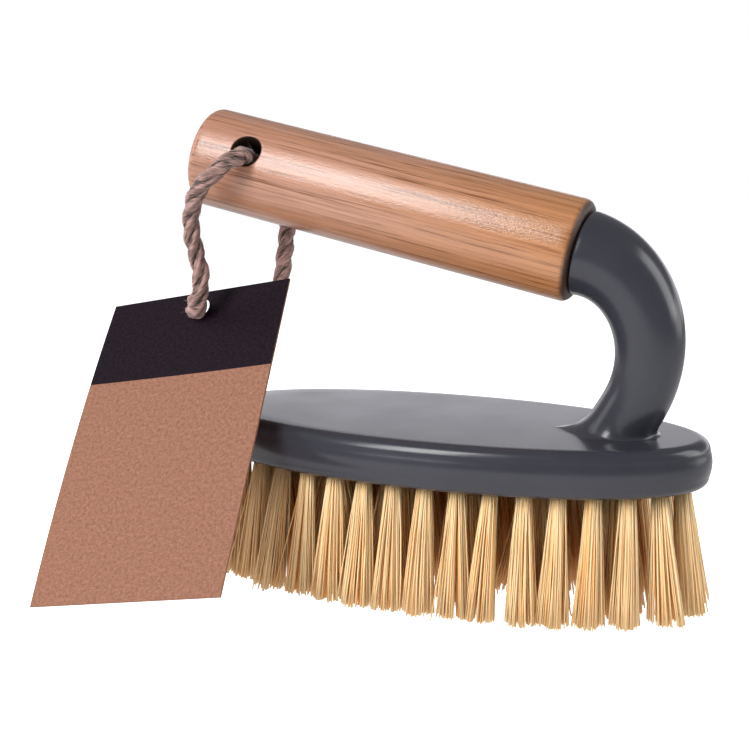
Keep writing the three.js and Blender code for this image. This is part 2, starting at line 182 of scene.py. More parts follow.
class BristleSettings(bpy.types.PropertyGroup):
    """Layout, sizes and colours of the bristle tufts"""

    outer_tufts: count_property("Outer tufts", "Tufts in the outer row", 34, 3)
    outer_offset: share_property("Outer offset", "Start of the outer row, in tufts", 0.75)
    middle_tufts: count_property("Middle tufts", "Tufts in the middle row", 12, 3)
    middle_offset: share_property("Middle offset", "Start of the middle row, in tufts", 0.5)
    inner_tufts: count_property("Inner tufts", "Tufts in the straight row", 4, 1)
    outer_inset: length_property("Outer inset", "Outer row's distance from the outline", 0.007)
    middle_inset: length_property("Middle inset", "Middle row's distance from the outline", 0.018)
    inner_pitch: length_property("Inner pitch", "Spacing of the straight row", 0.018)
    outer_lean: length_property("Outer lean", "How far the outer tips stand out", 0.0043)
    middle_lean: length_property("Middle lean", "How far the middle tips stand out", 0.002)
    filaments: count_property("Filaments", "Filaments in an outer tuft", 150, 1)
    inner_filaments: count_property("Inner filaments", "Filaments in an inner tuft", 250, 1)
    filament_radius: length_property("Filament radius", "Radius of a filament", 0.00023)
    root_radius: length_property("Tuft root", "Radius of a tuft at its root", 0.0019)
    tip_radius: length_property("Tuft tip", "Radius of a tuft at its tip", 0.0050)
    depth: length_property("Set depth", "How deep the tufts sit in the head", 0.001)
    unevenness: length_property("Unevenness", "Spread of the tips' heights", 0.0012)
    clumps: count_property("Clumps", "Bunches that a tuft's tips fall into", 6, 1)
    clump_pull: share_property("Clump pull", "How far the tips draw together in their bunches", 0.3)
    inner_fullness: share_property("Inner fullness", "Width of the inner tufts against the outer ones", 2.2)
    # Amber is also the colour of the painted shade inside the tufts
    pale: colour_property("Pale straw", "Lightest filaments", (1.0, 0.72, 0.38))
    amber: colour_property("Amber straw", "Darkest filaments", (0.99, 0.45, 0.07))


class TwineSettings(bpy.types.PropertyGroup):
    """Sizes and colours of the jute twine"""

    diameter: length_property("Diameter", "Diameter over the plies", 0.005)
    plies: count_property("Plies", "Plies in the twine", 3, 2)
    ply_radius: length_property("Ply radius", "Radius of one ply", 0.00138)
    lay_radius: length_property("Lay radius", "Distance of a ply from the twine's middle", 0.00112)
    pitch: length_property("Pitch", "Length of one turn of the plies", 0.0195)
    hairs: count_property("Hairs", "Loose fibres on the loop", 620, 0)
    fibres: count_property("Fibres", "Fibres that stand out on the plies", 900, 0)
    fray_hairs: count_property("Fray", "Loose fibres where the twine meets the tag", 150, 0)
    # The light and dark fibres also carry painted light on the crowns and painted shade in the grooves
    light: colour_property("Light fibres", "Fibres that catch the light", (0.345, 0.205, 0.178))
    dark: colour_property("Dark fibres", "Fibres in the grooves", (0.035, 0.018, 0.014))


class TagSettings(bpy.types.PropertyGroup):
    """Sizes and colours of the card tag"""

    width: length_property("Width", "Card's width", 0.061)
    height: length_property("Height", "Card's height", 0.098)
    thickness: length_property("Thickness", "Card's thickness", 0.0006)
    hole_diameter: length_property("Hole", "Diameter of the punched hole", 0.007)
    hole_from_top: length_property("Hole place", "Distance from the hole to the top edge", 0.0068)
    hole_shift: length_property("Hole shift", "How far the hole is right of and above the twine", 0.0011)
    lean: angle_property("Lean", "How far the card leans back", -40.8)
    roll: angle_property("Roll", "Turn of the card in its own plane", -15.2)
    yaw: angle_property("Yaw", "Turn of the card about the upright", -13.2)
    bow: length_property("Bow", "How far the left edge bows forward", 0.0015)
    band: share_property("Band", "Share of the height that the dark band takes", 0.293)
    kraft: colour_property("Kraft", "Bare card", (0.297, 0.143, 0.095))
    ink: colour_property("Ink", "Dark band", (0.0055, 0.0024, 0.005))


class StageSettings(bpy.types.PropertyGroup):
    """Camera, lights and floor"""

    camera_place: place_property("Camera", "Camera's place", (0.13414, -0.38337, 0.14220))
    camera_aim: place_property("Aim", "Point that the camera looks at", (-0.02075, 0.0, 0.057544))
    lens: number_property("Lens", "Focal length in millimetres", 71.14, 1.0)
    floor: colour_property("Floor", "Pale floor", (0.62, 0.62, 0.62))
    glow: number_property("Glow", "Light that the floor gives off", 0.65)
    key: number_property("Key", "Power of the front softbox", 10.4)
    side: number_property("Side", "Power of the left softbox", 2.2)
    strip: number_property("Strip", "Power of the right softbox", 3.0)
    low: number_property("Low", "Power of the low softbox at the right", 0.7)
    rear: number_property("Rear", "Power of the lit backdrop", 6.9)
    ambient: number_property("Ambient", "Strength of the surroundings", 0.27)


# Surfaces


def unit(vectors):
    """Vectors divided by their lengths."""
    vectors = np.asarray(vectors, float)
    return vectors / np.linalg.norm(vectors, axis=-1, keepdims=True)


def even_turns(sides):
    """Angles of equal turns round a circle."""
    return np.linspace(0, FULL_TURN, sides, endpoint=False)


def circle(sides):
    """Cosines and sines of equal turns round a circle."""
    turn = even_turns(sides)
    return np.cos(turn), np.sin(turn)


def strip_faces(index):
    """Four-sided faces between the rows of an index grid whose columns close on themselves."""
    right = np.roll(index, -1, axis=1)
    return np.stack([index[:-1], right[:-1], right[1:], index[1:]], -1).reshape(-1, 4)


def loft(rings, start_pole=None, end_pole=None):
    """Rings joined into a tube; a pole closes an end with a fan. Returns points, quads and triangles."""
    count, sides = rings.shape[:2]
    index = np.arange(count * sides).reshape(count, sides)
    points = rings.reshape(-1, 3)
    fans = []
    for pole, edge in ((start_pole, index[0]), (end_pole, index[-1][::-1])):
        if pole is not None:
            hub = np.full(sides, len(points))
            points = np.vstack([points, pole])
            fans.append(np.stack([hub, np.roll(edge, -1), edge], -1))
    triangles = np.vstack(fans) if fans else np.zeros((0, 3), int)
    return points, strip_faces(index), triangles


def three_sided(spine, girth, out, side):
    """Points of three-sided tubes: three corners round each point of a spine, at equal turns."""
    ring = np.cos(THIRDS)[:, None] * out[..., None, :] + np.sin(THIRDS)[:, None] * side[..., None, :]
    return (spine[..., None, :] + girth * ring).reshape(-1, 3)


def tube_faces(count, stations):
    """Side faces and end caps of three-sided tubes whose points follow each other station by station."""
    base = np.arange(count)[:, None, None] * stations * 3
    here = base + np.arange(stations - 1)[None, :, None] * 3
    corner = np.arange(3)[None, None, :]
    following = (corner + 1) % 3
    quads = np.stack([here + corner, here + following, here + 3 + following, here + 3 + corner], -1)
    first = base[:, 0, 0]
    last = first + 3 * (stations - 1)
    starts = np.stack([first, first + 2, first + 1], -1)
    ends = np.stack([last, last + 1, last + 2], -1)
    return quads.reshape(-1, 4), np.concatenate([starts, ends])


def joined(*surfaces):
    """Surfaces of points, quads, triangles, UV and tone, with its painted shade and light, put into one set
    of arrays.
    """
    shifts = np.cumsum([0] + [len(surface[0]) for surface in surfaces])
    points, quads, triangles, uv, tone_and_shade = zip(*surfaces)
    quads = [faces + shift for faces, shift in zip(quads, shifts)]
    triangles = [faces + shift for faces, shift in zip(triangles, shifts)]
    return [np.concatenate(part) for part in (points, quads, triangles, uv, tone_and_shade)]


def signed_volume(points, faces):
    """Sum of the tetrahedra from the origin to each face's triangles."""
    total = 0.0
    for k in range(1, faces.shape[1] - 1):
        a, b, c = points[faces[:, 0]], points[faces[:, k]], points[faces[:, k + 1]]
        total += np.einsum("ij,ij->", a, np.cross(b, c)) / 6
    return total


def link_object(name, data):
    """A new object in the scene."""
    holder = bpy.data.objects.new(name, data)
    bpy.context.scene.collection.objects.link(holder)
    return holder


def make_piece(name, points, faces, material, body, uv=None, tone_and_shade=None):
    """A smooth mesh object from whole arrays, turned outwards, that rides on a body; uv and tone are per
    point. On some pieces the tone holds painted shade and light."""
    faces = [f for f in faces if len(f)]
    if sum(signed_volume(points, f) for f in faces) < 0:
        faces = [f[:, ::-1] for f in faces]
    mesh = bpy.data.meshes.new(name)
    mesh.from_pydata(points.tolist(), [], [row for f in faces for row in f.tolist()])
    mesh.polygons.foreach_set("use_smooth", np.ones(len(mesh.polygons), bool))
    if uv is not None:
        loops = np.zeros(len(mesh.loops), np.int32)
        mesh.loops.foreach_get("vertex_index", loops)
        mesh.uv_layers.new(name="surface").data.foreach_set("uv", uv[loops].astype(np.float32).ravel())
    if tone_and_shade is not None:
        mesh.attributes.new("tone_and_shade", "FLOAT", "POINT").data.foreach_set("value", tone_and_shade.astype(np.float32))
    mesh.materials.append(material)
    mesh.update()
    piece = link_object(name, mesh)
    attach(piece, body)
    return piece


def sharpen(piece, degrees):
    """Marks the edges that bend by more than an angle as sharp."""
    piece.data.set_sharp_from_angle(angle=math.radians(degrees))


def cubic(p0, p1, p2, p3, t):
    """Points of a cubic Bezier curve: s3 p0 + 3 s2 t p1 + 3 s t2 p2 + t3 p3, where s is 1 - t."""
    s = 1 - t
    return s**3 * p0 + 3 * s**2 * t * p1 + 3 * s * t**2 * p2 + t**3 * p3


def bezier(p0, p1, p2, p3, t):
    """Points of a cubic Bezier curve, and its unit direction, for an array of parameters."""
    t = np.asarray(t)[:, None]
    s = 1 - t
    way = s**2 * (p1 - p0) + 2 * s * t * (p2 - p1) + t**2 * (p3 - p2)
    return cubic(p0, p1, p2, p3, t), unit(way)


def catmull_rom(points, steps):
    """A smooth line through points: on each span, half of (2b + (c-a)t + (2a-5b+4c-d)t2 + (3b-a-3c+d)t3)."""
    ends = np.vstack([2 * points[0] - points[1], points, 2 * points[-1] - points[-2]])
    a, b, c, d = (ends[k:len(ends) - 3 + k, None] for k in range(4))
    t = np.linspace(0, 1, steps, endpoint=False)[None, :, None]
    line = 0.5 * (2 * b + (c - a) * t + (2 * a - 5 * b + 4 * c - d) * t**2 + (3 * b - a - 3 * c + d) * t**3)
    return np.vstack([line.reshape(-1, 3), points[-1]])


def lengths_along(line):
    """Distance from a line's start to each of its points."""
    return np.concatenate([[0], np.cumsum(np.linalg.norm(np.diff(line, axis=0), axis=1))])


def even_line(line, spacing):
    """The same line with its points evenly spaced."""
    along = lengths_along(line)
    at = np.linspace(0, along[-1], int(round(along[-1] / spacing)) + 1)
    return np.stack([np.interp(at, along, line[:, k]) for k in range(3)], -1)


# Materials


def new_material(name):
    """A material with its node tree, its shader and its coordinates."""
    material = bpy.data.materials.new(name)
    material.use_nodes = True
    tree = material.node_tree
    place = tree.nodes.new("ShaderNodeTexCoord").outputs
    return material, tree, tree.nodes["Principled BSDF"], place


def plug(tree, socket, value):
    """Links an input to another socket, or sets its value."""
    if isinstance(value, bpy.types.NodeSocket):
        tree.links.new(value, socket)
    else:
        socket.default_value = value


def set_inputs(tree, node, **inputs):
    """Gives a node's inputs their values or links, by name with _ for a space."""
    for key, value in inputs.items():
        plug(tree, node.inputs[key.replace("_", " ")], value)


def add_node(tree, kind, settings=None, **inputs):
    """A node with its settings and inputs."""
    node = tree.nodes.new(kind)
    for key, value in (settings or {}).items():
        setattr(node, key, value)
    set_inputs(tree, node, **inputs)
    return node


def add_noise(tree, vector, scale, detail=3.0, roughness=0.55):
    """A noise pattern's factor."""
    node = add_node(
        tree, "ShaderNodeTexNoise", Vector=vector, Scale=scale, Detail=detail, Roughness=roughness)
    return node.outputs["Fac"]


def add_mapping(tree, vector, scale=(1, 1, 1), rotation=(0, 0, 0)):
    """Coordinates turned and scaled."""
    node = add_node(tree, "ShaderNodeMapping", Vector=vector, Scale=scale, Rotation=rotation)
    return node.outputs["Vector"]


def add_grain(tree, vector, counts, detail=3.0, roughness=0.55):
    """A stretched noise pattern; counts are its repeats in a unit of length along each axis."""
    return add_noise(tree, add_mapping(tree, vector, counts), 1.0, detail, roughness)


def add_tone_and_shade(tree):
    """The mesh's tone: a random tone, and on some pieces painted shade and light."""
    return add_node(tree, "ShaderNodeAttribute", {"attribute_name": "tone_and_shade"}).outputs["Fac"]


def add_ramp(tree, factor, *stops):
    """Colour of a factor along stops of (position, colour)."""
    node = add_node(tree, "ShaderNodeValToRGB", Fac=factor)
    elements = node.color_ramp.elements
    while len(elements) < len(stops):
        elements.new(1.0)
    for element, (position, colour) in zip(elements, stops):
        element.position = position
        element.color = (*colour, 1.0)
    return node.outputs["Color"]


def add_tint(tree, noise, low, high):
    """Colour of a noise pattern, from one colour to another over its usual range."""
    return add_ramp(tree, noise, *zip(NOISE_RANGE, (low, high)))


def add_range(tree, value, old, new):
    """A value carried from an old range of (low, high) to a new one, and kept within it."""
    node = add_node(tree, "ShaderNodeMapRange", Value=value)
    set_inputs(tree, node, From_Min=old[0], From_Max=old[1], To_Min=new[0], To_Max=new[1])
    return node.outputs["Result"]


def add_math(tree, operation, *values):
    """Values put together by an operation."""
    node = add_node(tree, "ShaderNodeMath", {"operation": operation})
    for socket, value in zip(node.inputs, values):
        plug(tree, socket, value)
    return node.outputs["Value"]


def add_shares(tree, *parts):
    """The sum of two values, each times its share."""
    first, second = (add_math(tree, "MULTIPLY", value, share) for value, share in parts)
    return add_math(tree, "ADD", first, second)


def add_mix(tree, factor, first, second, blend="MIX"):
    """Two colours mixed by a factor."""
    node = add_node(tree, "ShaderNodeMix", {"data_type": "RGBA", "blend_type": blend})
    plug(tree, node.inputs[MIX_FACTOR], factor)
    for number, colour in zip(MIX_COLOURS, (first, second)):
        linked = isinstance(colour, bpy.types.NodeSocket)
        plug(tree, node.inputs[number], colour if linked else (*colour, 1.0))
    return node.outputs[MIX_RESULT]


def add_bump(tree, shader, height, depth, strength):
    """Relief on a shader from a height pattern, in metres."""
    node = add_node(tree, "ShaderNodeBump", Height=height, Distance=depth, Strength=strength)
    tree.links.new(node.outputs["Normal"], shader.inputs["Normal"])


def shade(colour, factor):
    """A colour made lighter or darker."""
    return tuple(min(1.0, factor * c) for c in colour)


def moulding_material(head):
    """Glossy grey plastic: faint flow streaks in its colour and a slight unevenness in its gloss."""
    material, tree, shader, place = new_material("moulded_grey_gloss")
    cloud = add_noise(tree, place["Object"], 45.0, 4.0)
    colour = add_tint(tree, cloud, shade(head.colour, 0.92), shade(head.colour, 1.08))
    gloss = add_range(tree, cloud, NOISE_RANGE, (0.19, 0.25))
    set_inputs(tree, shader, Base_Color=colour, Roughness=gloss, IOR=1.45)
    ripple = add_noise(tree, place["Object"], 60.0, 1.0)
    add_bump(tree, shader, ripple, 0.00003, 0.4)
    return material


def bamboo_material(grip):
    """Lacquered bamboo: long fibres in two widths that run with the grip, paler and darker strips, thin dark
    lines, pores, a dark seam at the neck end that is partly painted shade, and painted shade in the hole."""
    material, tree, shader, place = new_material("lacquered_bamboo")
    along = add_mapping(tree, place["Object"], rotation=(0.0, -grip.tilt, 0.0))
    fine = add_grain(tree, along, (55.0, 2600.0, 2600.0), 2.0, 0.6)
    broad = add_grain(tree, along, (6.0, 950.0, 950.0), 3.0, 0.6)
    strips = add_grain(tree, along, (4.0, 130.0, 130.0), 2.0, 0.5)
    contour = add_grain(tree, along, (3.0, 560.0, 560.0), 1.0)
    pores = add_grain(tree, along, (160.0, 2600.0, 2600.0), 1.0)
    speckle = add_grain(tree, along, (900.0, 2400.0, 2400.0), 1.0)
    grain = add_shares(tree, (fine, 0.5), (broad, 0.5))
    fibres = add_ramp(tree, grain, (0.36, grip.dark), (0.47, grip.light), (0.6, shade(grip.light, 1.22)))
    tint = add_tint(tree, strips, (0.90, 0.80, 0.68), (1.0, 1.0, 1.04))
    wood = add_mix(tree, 1.0, fibres, tint, "MULTIPLY")
    end = math.cos(grip.tilt) * grip.end_x - math.sin(grip.tilt) * grip.end_z
    from_end = add_node(tree, "ShaderNodeSeparateXYZ", Vector=along).outputs["X"]
    reach = add_range(tree, from_end, (end - grip.length, end), WHOLE_RANGE)
    free_end, middle, neck_end = (0.97, 0.96, 0.96), (1.0, 1.0, 0.96), (0.98, 0.87, 0.56)
    warmth = add_ramp(tree, reach, (0.0, free_end), (0.45, middle), (0.95, neck_end))
    wood = add_mix(tree, 1.0, wood, warmth, "MULTIPLY")
    from_line = add_math(tree, "ABSOLUTE", add_math(tree, "SUBTRACT", contour, 0.5))
    line_width, line_depth = 0.011, 0.36
    wood = add_mix(tree, add_range(tree, from_line, (0.0, line_width), (line_depth, 0.0)), wood, grip.dark)
    in_pore = add_range(tree, pores, (0.70, 0.76), (0.0, 0.3))
    wood = add_mix(tree, in_pore, wood, shade(grip.dark, 0.45))
    # Painted shade with a dark seam: the rim turns near black just before the joint with the neck
    ragged = add_math(tree, "ADD", from_end, add_range(tree, fine, NOISE_RANGE, (-0.0002, 0.0002)))
    seam_and_shade_span = (end - grip.seam_and_shade_length, end - 0.45 * grip.seam_and_shade_length)
    seam_and_shade_mask = add_range(tree, ragged, seam_and_shade_span, WHOLE_RANGE)
    wood = add_mix(tree, seam_and_shade_mask, wood, grip.seam_and_shade)
    tone_and_shade = add_tone_and_shade(tree)
    # Painted shade: the hole's wall, where the tone is 0, is painted nearly black
    wood = add_mix(tree, tone_and_shade, shade(grip.seam_and_shade, 0.8), wood)
    lacquer = add_range(tree, broad, NOISE_RANGE, (0.19, 0.27))
    in_hole = add_range(tree, tone_and_shade, WHOLE_RANGE, (0.5, 0.0))
    bare = add_math(tree, "ADD", add_math(tree, "MULTIPLY", seam_and_shade_mask, 0.3), in_hole)
    set_inputs(tree, shader, Base_Color=wood, Roughness=add_math(tree, "ADD", lacquer, bare), IOR=1.5)
    relief = add_math(tree, "ADD", grain, add_math(tree, "MULTIPLY", speckle, 0.9))
    add_bump(tree, shader, relief, 0.00009, 0.7)
    return material


def bristle_material(bristle):
    """Straw coloured filaments: each has a random tone, with painted shade that darkens the inside of the
    tufts, and fine streaks along its length.
    """
    material, tree, shader, place = new_material("straw_filaments")
    streak = add_grain(tree, place["Object"], (2500.0, 2500.0, 60.0), 2.0)
    mixed = add_math(tree, "ADD", add_tone_and_shade(tree), add_range(tree, streak, NOISE_RANGE, (-0.1, 0.1)))
    palest = shade(bristle.pale, 1.08)
    colour = add_ramp(tree, mixed, (0.0, bristle.amber), (0.55, bristle.pale), (1.0, palest))
    set_inputs(tree, shader, Base_Color=colour, Roughness=0.4, Specular_IOR_Level=1.0)
    add_bump(tree, shader, streak, 0.00002, 0.4)
    return material


def jute_material(twine):
    """Jute: fibres that run along each ply with a twist, with painted light on the crowns and painted shade
    in the grooves.
    """
    material, tree, shader, place = new_material("jute_fibre")
    twist = 0.55
    turned = add_mapping(tree, place["UV"], rotation=(0.0, 0.0, twist))
    fine = add_grain(tree, turned, (2600.0, 230.0, 1.0), 3.0, 0.65)
    clumps = add_grain(tree, turned, (1100.0, 130.0, 1.0), 2.0)
    mixed = add_shares(tree, (fine, 0.65), (clumps, 0.35))
    # The tone adds painted light on the crowns and painted shade in the furrows and grooves
    mixed = add_math(tree, "ADD", mixed, add_range(tree, add_tone_and_shade(tree), WHOLE_RANGE, (-0.16, 0.1)))
    middle, crown = shade(twine.light, 0.6), shade(twine.light, 1.35)
    colour = add_ramp(tree, mixed, (0.36, twine.dark), (0.47, middle), (0.62, crown))
    set_inputs(tree, shader, Base_Color=colour, Roughness=0.85, Sheen_Weight=0.25)
    add_bump(tree, shader, mixed, 0.0004, 0.9)
    return material


def card_material(tag):
    """Kraft card: mottled pulp, pale and dark flecks and a dark inked band across the top of the front."""
    material, tree, shader, place = new_material("kraft_card")
    flat = add_mapping(tree, place["UV"], (tag.width * 1000, tag.height * 1000, 1.0))
    mottle = add_noise(tree, flat, 1.0, 5.0, 0.66)
    grain = add_noise(tree, flat, 2.6, 3.0, 0.7)
    pulp = add_shares(tree, (mottle, 0.5), (grain, 0.5))
    low, high = shade(tag.kraft, 0.6), shade(tag.kraft, 1.42)
    kraft = add_ramp(tree, pulp, (0.36, low), (0.5, tag.kraft), (0.64, high))
    pale_fleck, dark_fleck = (0.66, 0.42, 0.30), (0.20, 0.085, 0.05)
    pale = add_range(tree, add_grain(tree, flat, (1.6, 3.4, 1.0), 1.0), (0.70, 0.76), (0.0, 0.5))
    kraft = add_mix(tree, pale, kraft, pale_fleck)
    dark = add_range(tree, add_grain(tree, flat, (2.9, 1.9, 1.0), 1.0), (0.71, 0.76), (0.0, 0.6))
    kraft = add_mix(tree, dark, kraft, dark_fleck)
    ink = add_ramp(tree, pulp, (0.38, shade(tag.ink, 0.1)), (0.62, shade(tag.ink, 3.4)))
    height = add_node(tree, "ShaderNodeSeparateXYZ", Vector=place["UV"]).outputs["Y"]
    band = add_math(tree, "GREATER_THAN", height, 1 - tag.band)
    colour = add_mix(tree, band, kraft, ink)
    matt = add_range(tree, band, WHOLE_RANGE, (0.9, 0.62))
    set_inputs(tree, shader, Base_Color=colour, Roughness=matt, Specular_IOR_Level=0.1)
    add_bump(tree, shader, pulp, 0.00012, 0.7)
    return material


def steel_material():
    """Bright flat wire: fine drawing lines in its colour and gloss."""
    material, tree, shader, place = new_material("anchor_wire_steel")
    lines = add_grain(tree, place["Object"], (4000.0, 4000.0, 200.0), 2.0)
    colour = add_tint(tree, lines, (0.42, 0.43, 0.44), (0.66, 0.67, 0.68))
    gloss = add_range(tree, lines, NOISE_RANGE, (0.25, 0.4))
    set_inputs(tree, shader, Base_Color=colour, Roughness=gloss, Metallic=1.0)
    return material


def floor_material(stage):
    """Pale matt light table with a hardly visible unevenness. It dims to the back and to the right, and fades
    out towards its edge."""
    material, tree, shader, place = new_material("pale_floor")
    cloud = add_noise(tree, place["Object"], 3.0)
    pale = add_tint(tree, cloud, shade(stage.floor, 0.985), stage.floor)
    where = add_node(tree, "ShaderNodeSeparateXYZ", Vector=place["Object"]).outputs
    to_back = add_range(tree, where["Y"], (-0.1, 0.3), (1.0, 0.4))
    to_right = add_range(tree, where["X"], (0.1, 0.3), (1.0, 0.8))
    lit = add_math(tree, "MULTIPLY", to_back, to_right)
    colour = add_mix(tree, lit, shade(stage.floor, 0.4), pale)
    set_inputs(tree, shader, Base_Color=colour, Roughness=0.9, Specular_IOR_Level=0.1)
    seen = tree.nodes.new("ShaderNodeLightPath").outputs["Is Camera Ray"]
    glow = add_shares(tree, (lit, stage.glow), (seen, 0.9))
    set_inputs(tree, shader, Emission_Color=(*WHITE, 1.0), Emission_Strength=glow)
    distance = add_node(tree, "ShaderNodeVectorMath", {"operation": "LENGTH"}, Vector=place["Object"])
    fade = add_range(tree, distance.outputs["Value"], (0.3, 0.95), WHOLE_RANGE)
    clear = tree.nodes.new("ShaderNodeBsdfTransparent").outputs["BSDF"]
    mix = tree.nodes.new("ShaderNodeMixShader")
    for socket, source in zip(mix.inputs, (fade, shader.outputs["BSDF"], clear)):
        tree.links.new(source, socket)
    tree.links.new(mix.outputs["Shader"], tree.nodes["Material Output"].inputs["Surface"])
    return material


# Shapes of the pieces


def head_outline(head, inset, turn):
    """Outline at an inset: x = centre + a cos u, y = b sin u (1 - egg cos u + squareness cos 2u)."""
    a = head.length / 2 - inset
    b = (head.width / 2 - inset) / (1 - head.squareness)
    swell = 1 - head.egg * np.cos(turn) + head.squareness * np.cos(2 * turn)
    return np.stack([head.centre_x + a * np.cos(turn), b * np.sin(turn) * swell], -1)


def grip_frame(grip):
    """Middle of the neck end, the grip's direction and its cross-hole's direction."""
    start = np.array([grip.end_x, 0.0, grip.end_z])
    along = np.array([-math.cos(grip.tilt), 0.0, math.sin(grip.tilt)])
    upper = np.array([math.sin(grip.tilt), 0.0, math.cos(grip.tilt)])
    hole = math.sin(grip.hole_roll) * upper - math.cos(grip.hole_roll) * ACROSS
    return start, along, hole


def moulding_surface(head, neck, grip):
    """One skin from the spigot's end to the underside. Each ring has the same turns: circles square to the
    spigot's and the neck's line, Bezier profiles from the neck's root to the foot's edge that aim at where
    the straight neck would meet the head, straight lines from there to the head's rim, and rounds and a
    swelling side of the outline down to the underside."""
    sides, bend_steps, foot_steps, round_steps, side_steps, plateau_steps = 256, 72, 31, 15, 9, 17
    turn = even_turns(sides)
    cos, sin = np.cos(turn), np.sin(turn)
    top = head.underside + head.thickness
    grip_start, along, _ = grip_frame(grip)
    start = grip_start - grip.gap * along

    def rings_at(centres, ways, radii, spread=0.0):
        inner = np.cross(ACROSS, ways)
        wide = (1 + spread * np.ones(len(centres)))[:, None, None]
        ring = cos[:, None] * inner[:, None, :] + wide * sin[:, None] * ACROSS
        return centres[:, None, :] + np.asarray(radii)[:, None, None] * ring

    spigot_at = np.array([neck.spigot_length, neck.spigot_length - SPIGOT_BEVEL, 0.0])
    spigot_radii = neck.spigot_radius - np.array([SPIGOT_BEVEL, 0.0, 0.0])
    spigot = rings_at(grip_start + spigot_at[:, None] * along, np.tile(-along, (3, 1)), spigot_radii)

    root_way = np.array([-math.sin(neck.root_lean), 0.0, -math.cos(neck.root_lean)])
    root = np.array([neck.root_x, 0.0, top + neck.root_rise])
    edge_steps = np.array([0, 0.02, 0.06, 0.14, 0.28, 0.5, 0.75]) * neck.shoulder_edge / (3 * neck.reach)
    t = np.concatenate([edge_steps, np.linspace(1.0 / bend_steps, 1, bend_steps)])
    centres, ways = bezier(start, start - neck.reach * along, root - neck.root_pull * root_way, root, t)
    radii = neck.root_radius + (neck.shoulder_radius - neck.root_radius) * (1 - t) ** neck.taper_power
    rest = np.clip(1 - 3 * neck.reach * t / neck.shoulder_edge, 0, 1)
    radii = radii - neck.shoulder_edge * (1 - np.sqrt(1 - rest**2))
    bend = rings_at(centres, ways, radii, neck.shoulder_spread * (1 - t) ** 2)

    toe = np.clip(1 - 2 * np.minimum(turn, FULL_TURN - turn) / math.pi, 0, 1)
    foot_x = neck.foot_middle - neck.toe_length * toe + neck.heel_length * np.clip(-cos, 0, None)
    foot_y = neck.foot_half_width * np.where(toe > 0, np.sign(sin) * (1 - toe**neck.toe_point), sin)
    foot = np.stack([foot_x, foot_y, np.full(sides, top)], -1)
    last = bend[-1] + ((bend[-1][:, 2] - top) / -root_way[2])[:, None] * root_way
    first = bend[-1] + neck.foot_leave * (last - bend[-1])
    profile = cubic(bend[-1], first, last, foot, np.linspace(0, 1, foot_steps)[1:, None, None])

    def outline_ring(inset, z):
        flat = head_outline(head, inset, math.pi - turn)
        return np.column_stack([flat, np.full(sides, z)])

    bulge, high, low = head.side_bulge, top - head.top_edge, head.underside + head.bottom_edge
    quarter = np.linspace(0, math.pi / 2, round_steps)
    share = np.linspace(0, 1, side_steps)[1:-1]
    insets = np.concatenate([
        bulge + head.top_edge * (1 - np.sin(quarter)), bulge * (1 - 4 * share * (1 - share)),
        bulge + head.bottom_edge * (1 - np.cos(quarter))])
    levels = np.concatenate([
        high + head.top_edge * np.cos(quarter), high + (low - high) * share,
        low - head.bottom_edge * np.sin(quarter)])
    side = np.stack([outline_ring(inset, z) for inset, z in zip(insets, levels)])
    spacing_power = 1.5
    outward = (np.linspace(0, 1, plateau_steps)[1:-1] ** spacing_power)[:, None, None]
    plateau = (1 - outward) * foot + outward * side[0]
    flat_shares = np.array([0.97, 0.8, 0.6, 0.4, 0.2])[:, None, None]
    middle = np.array([head.centre_x, 0.0, head.underside])
    underside = middle + flat_shares * (side[-1] - middle)
    rings = np.concatenate([spigot, bend, profile, plateau, side, underside])
    return loft(rings, grip_start + neck.spigot_length * along, middle)


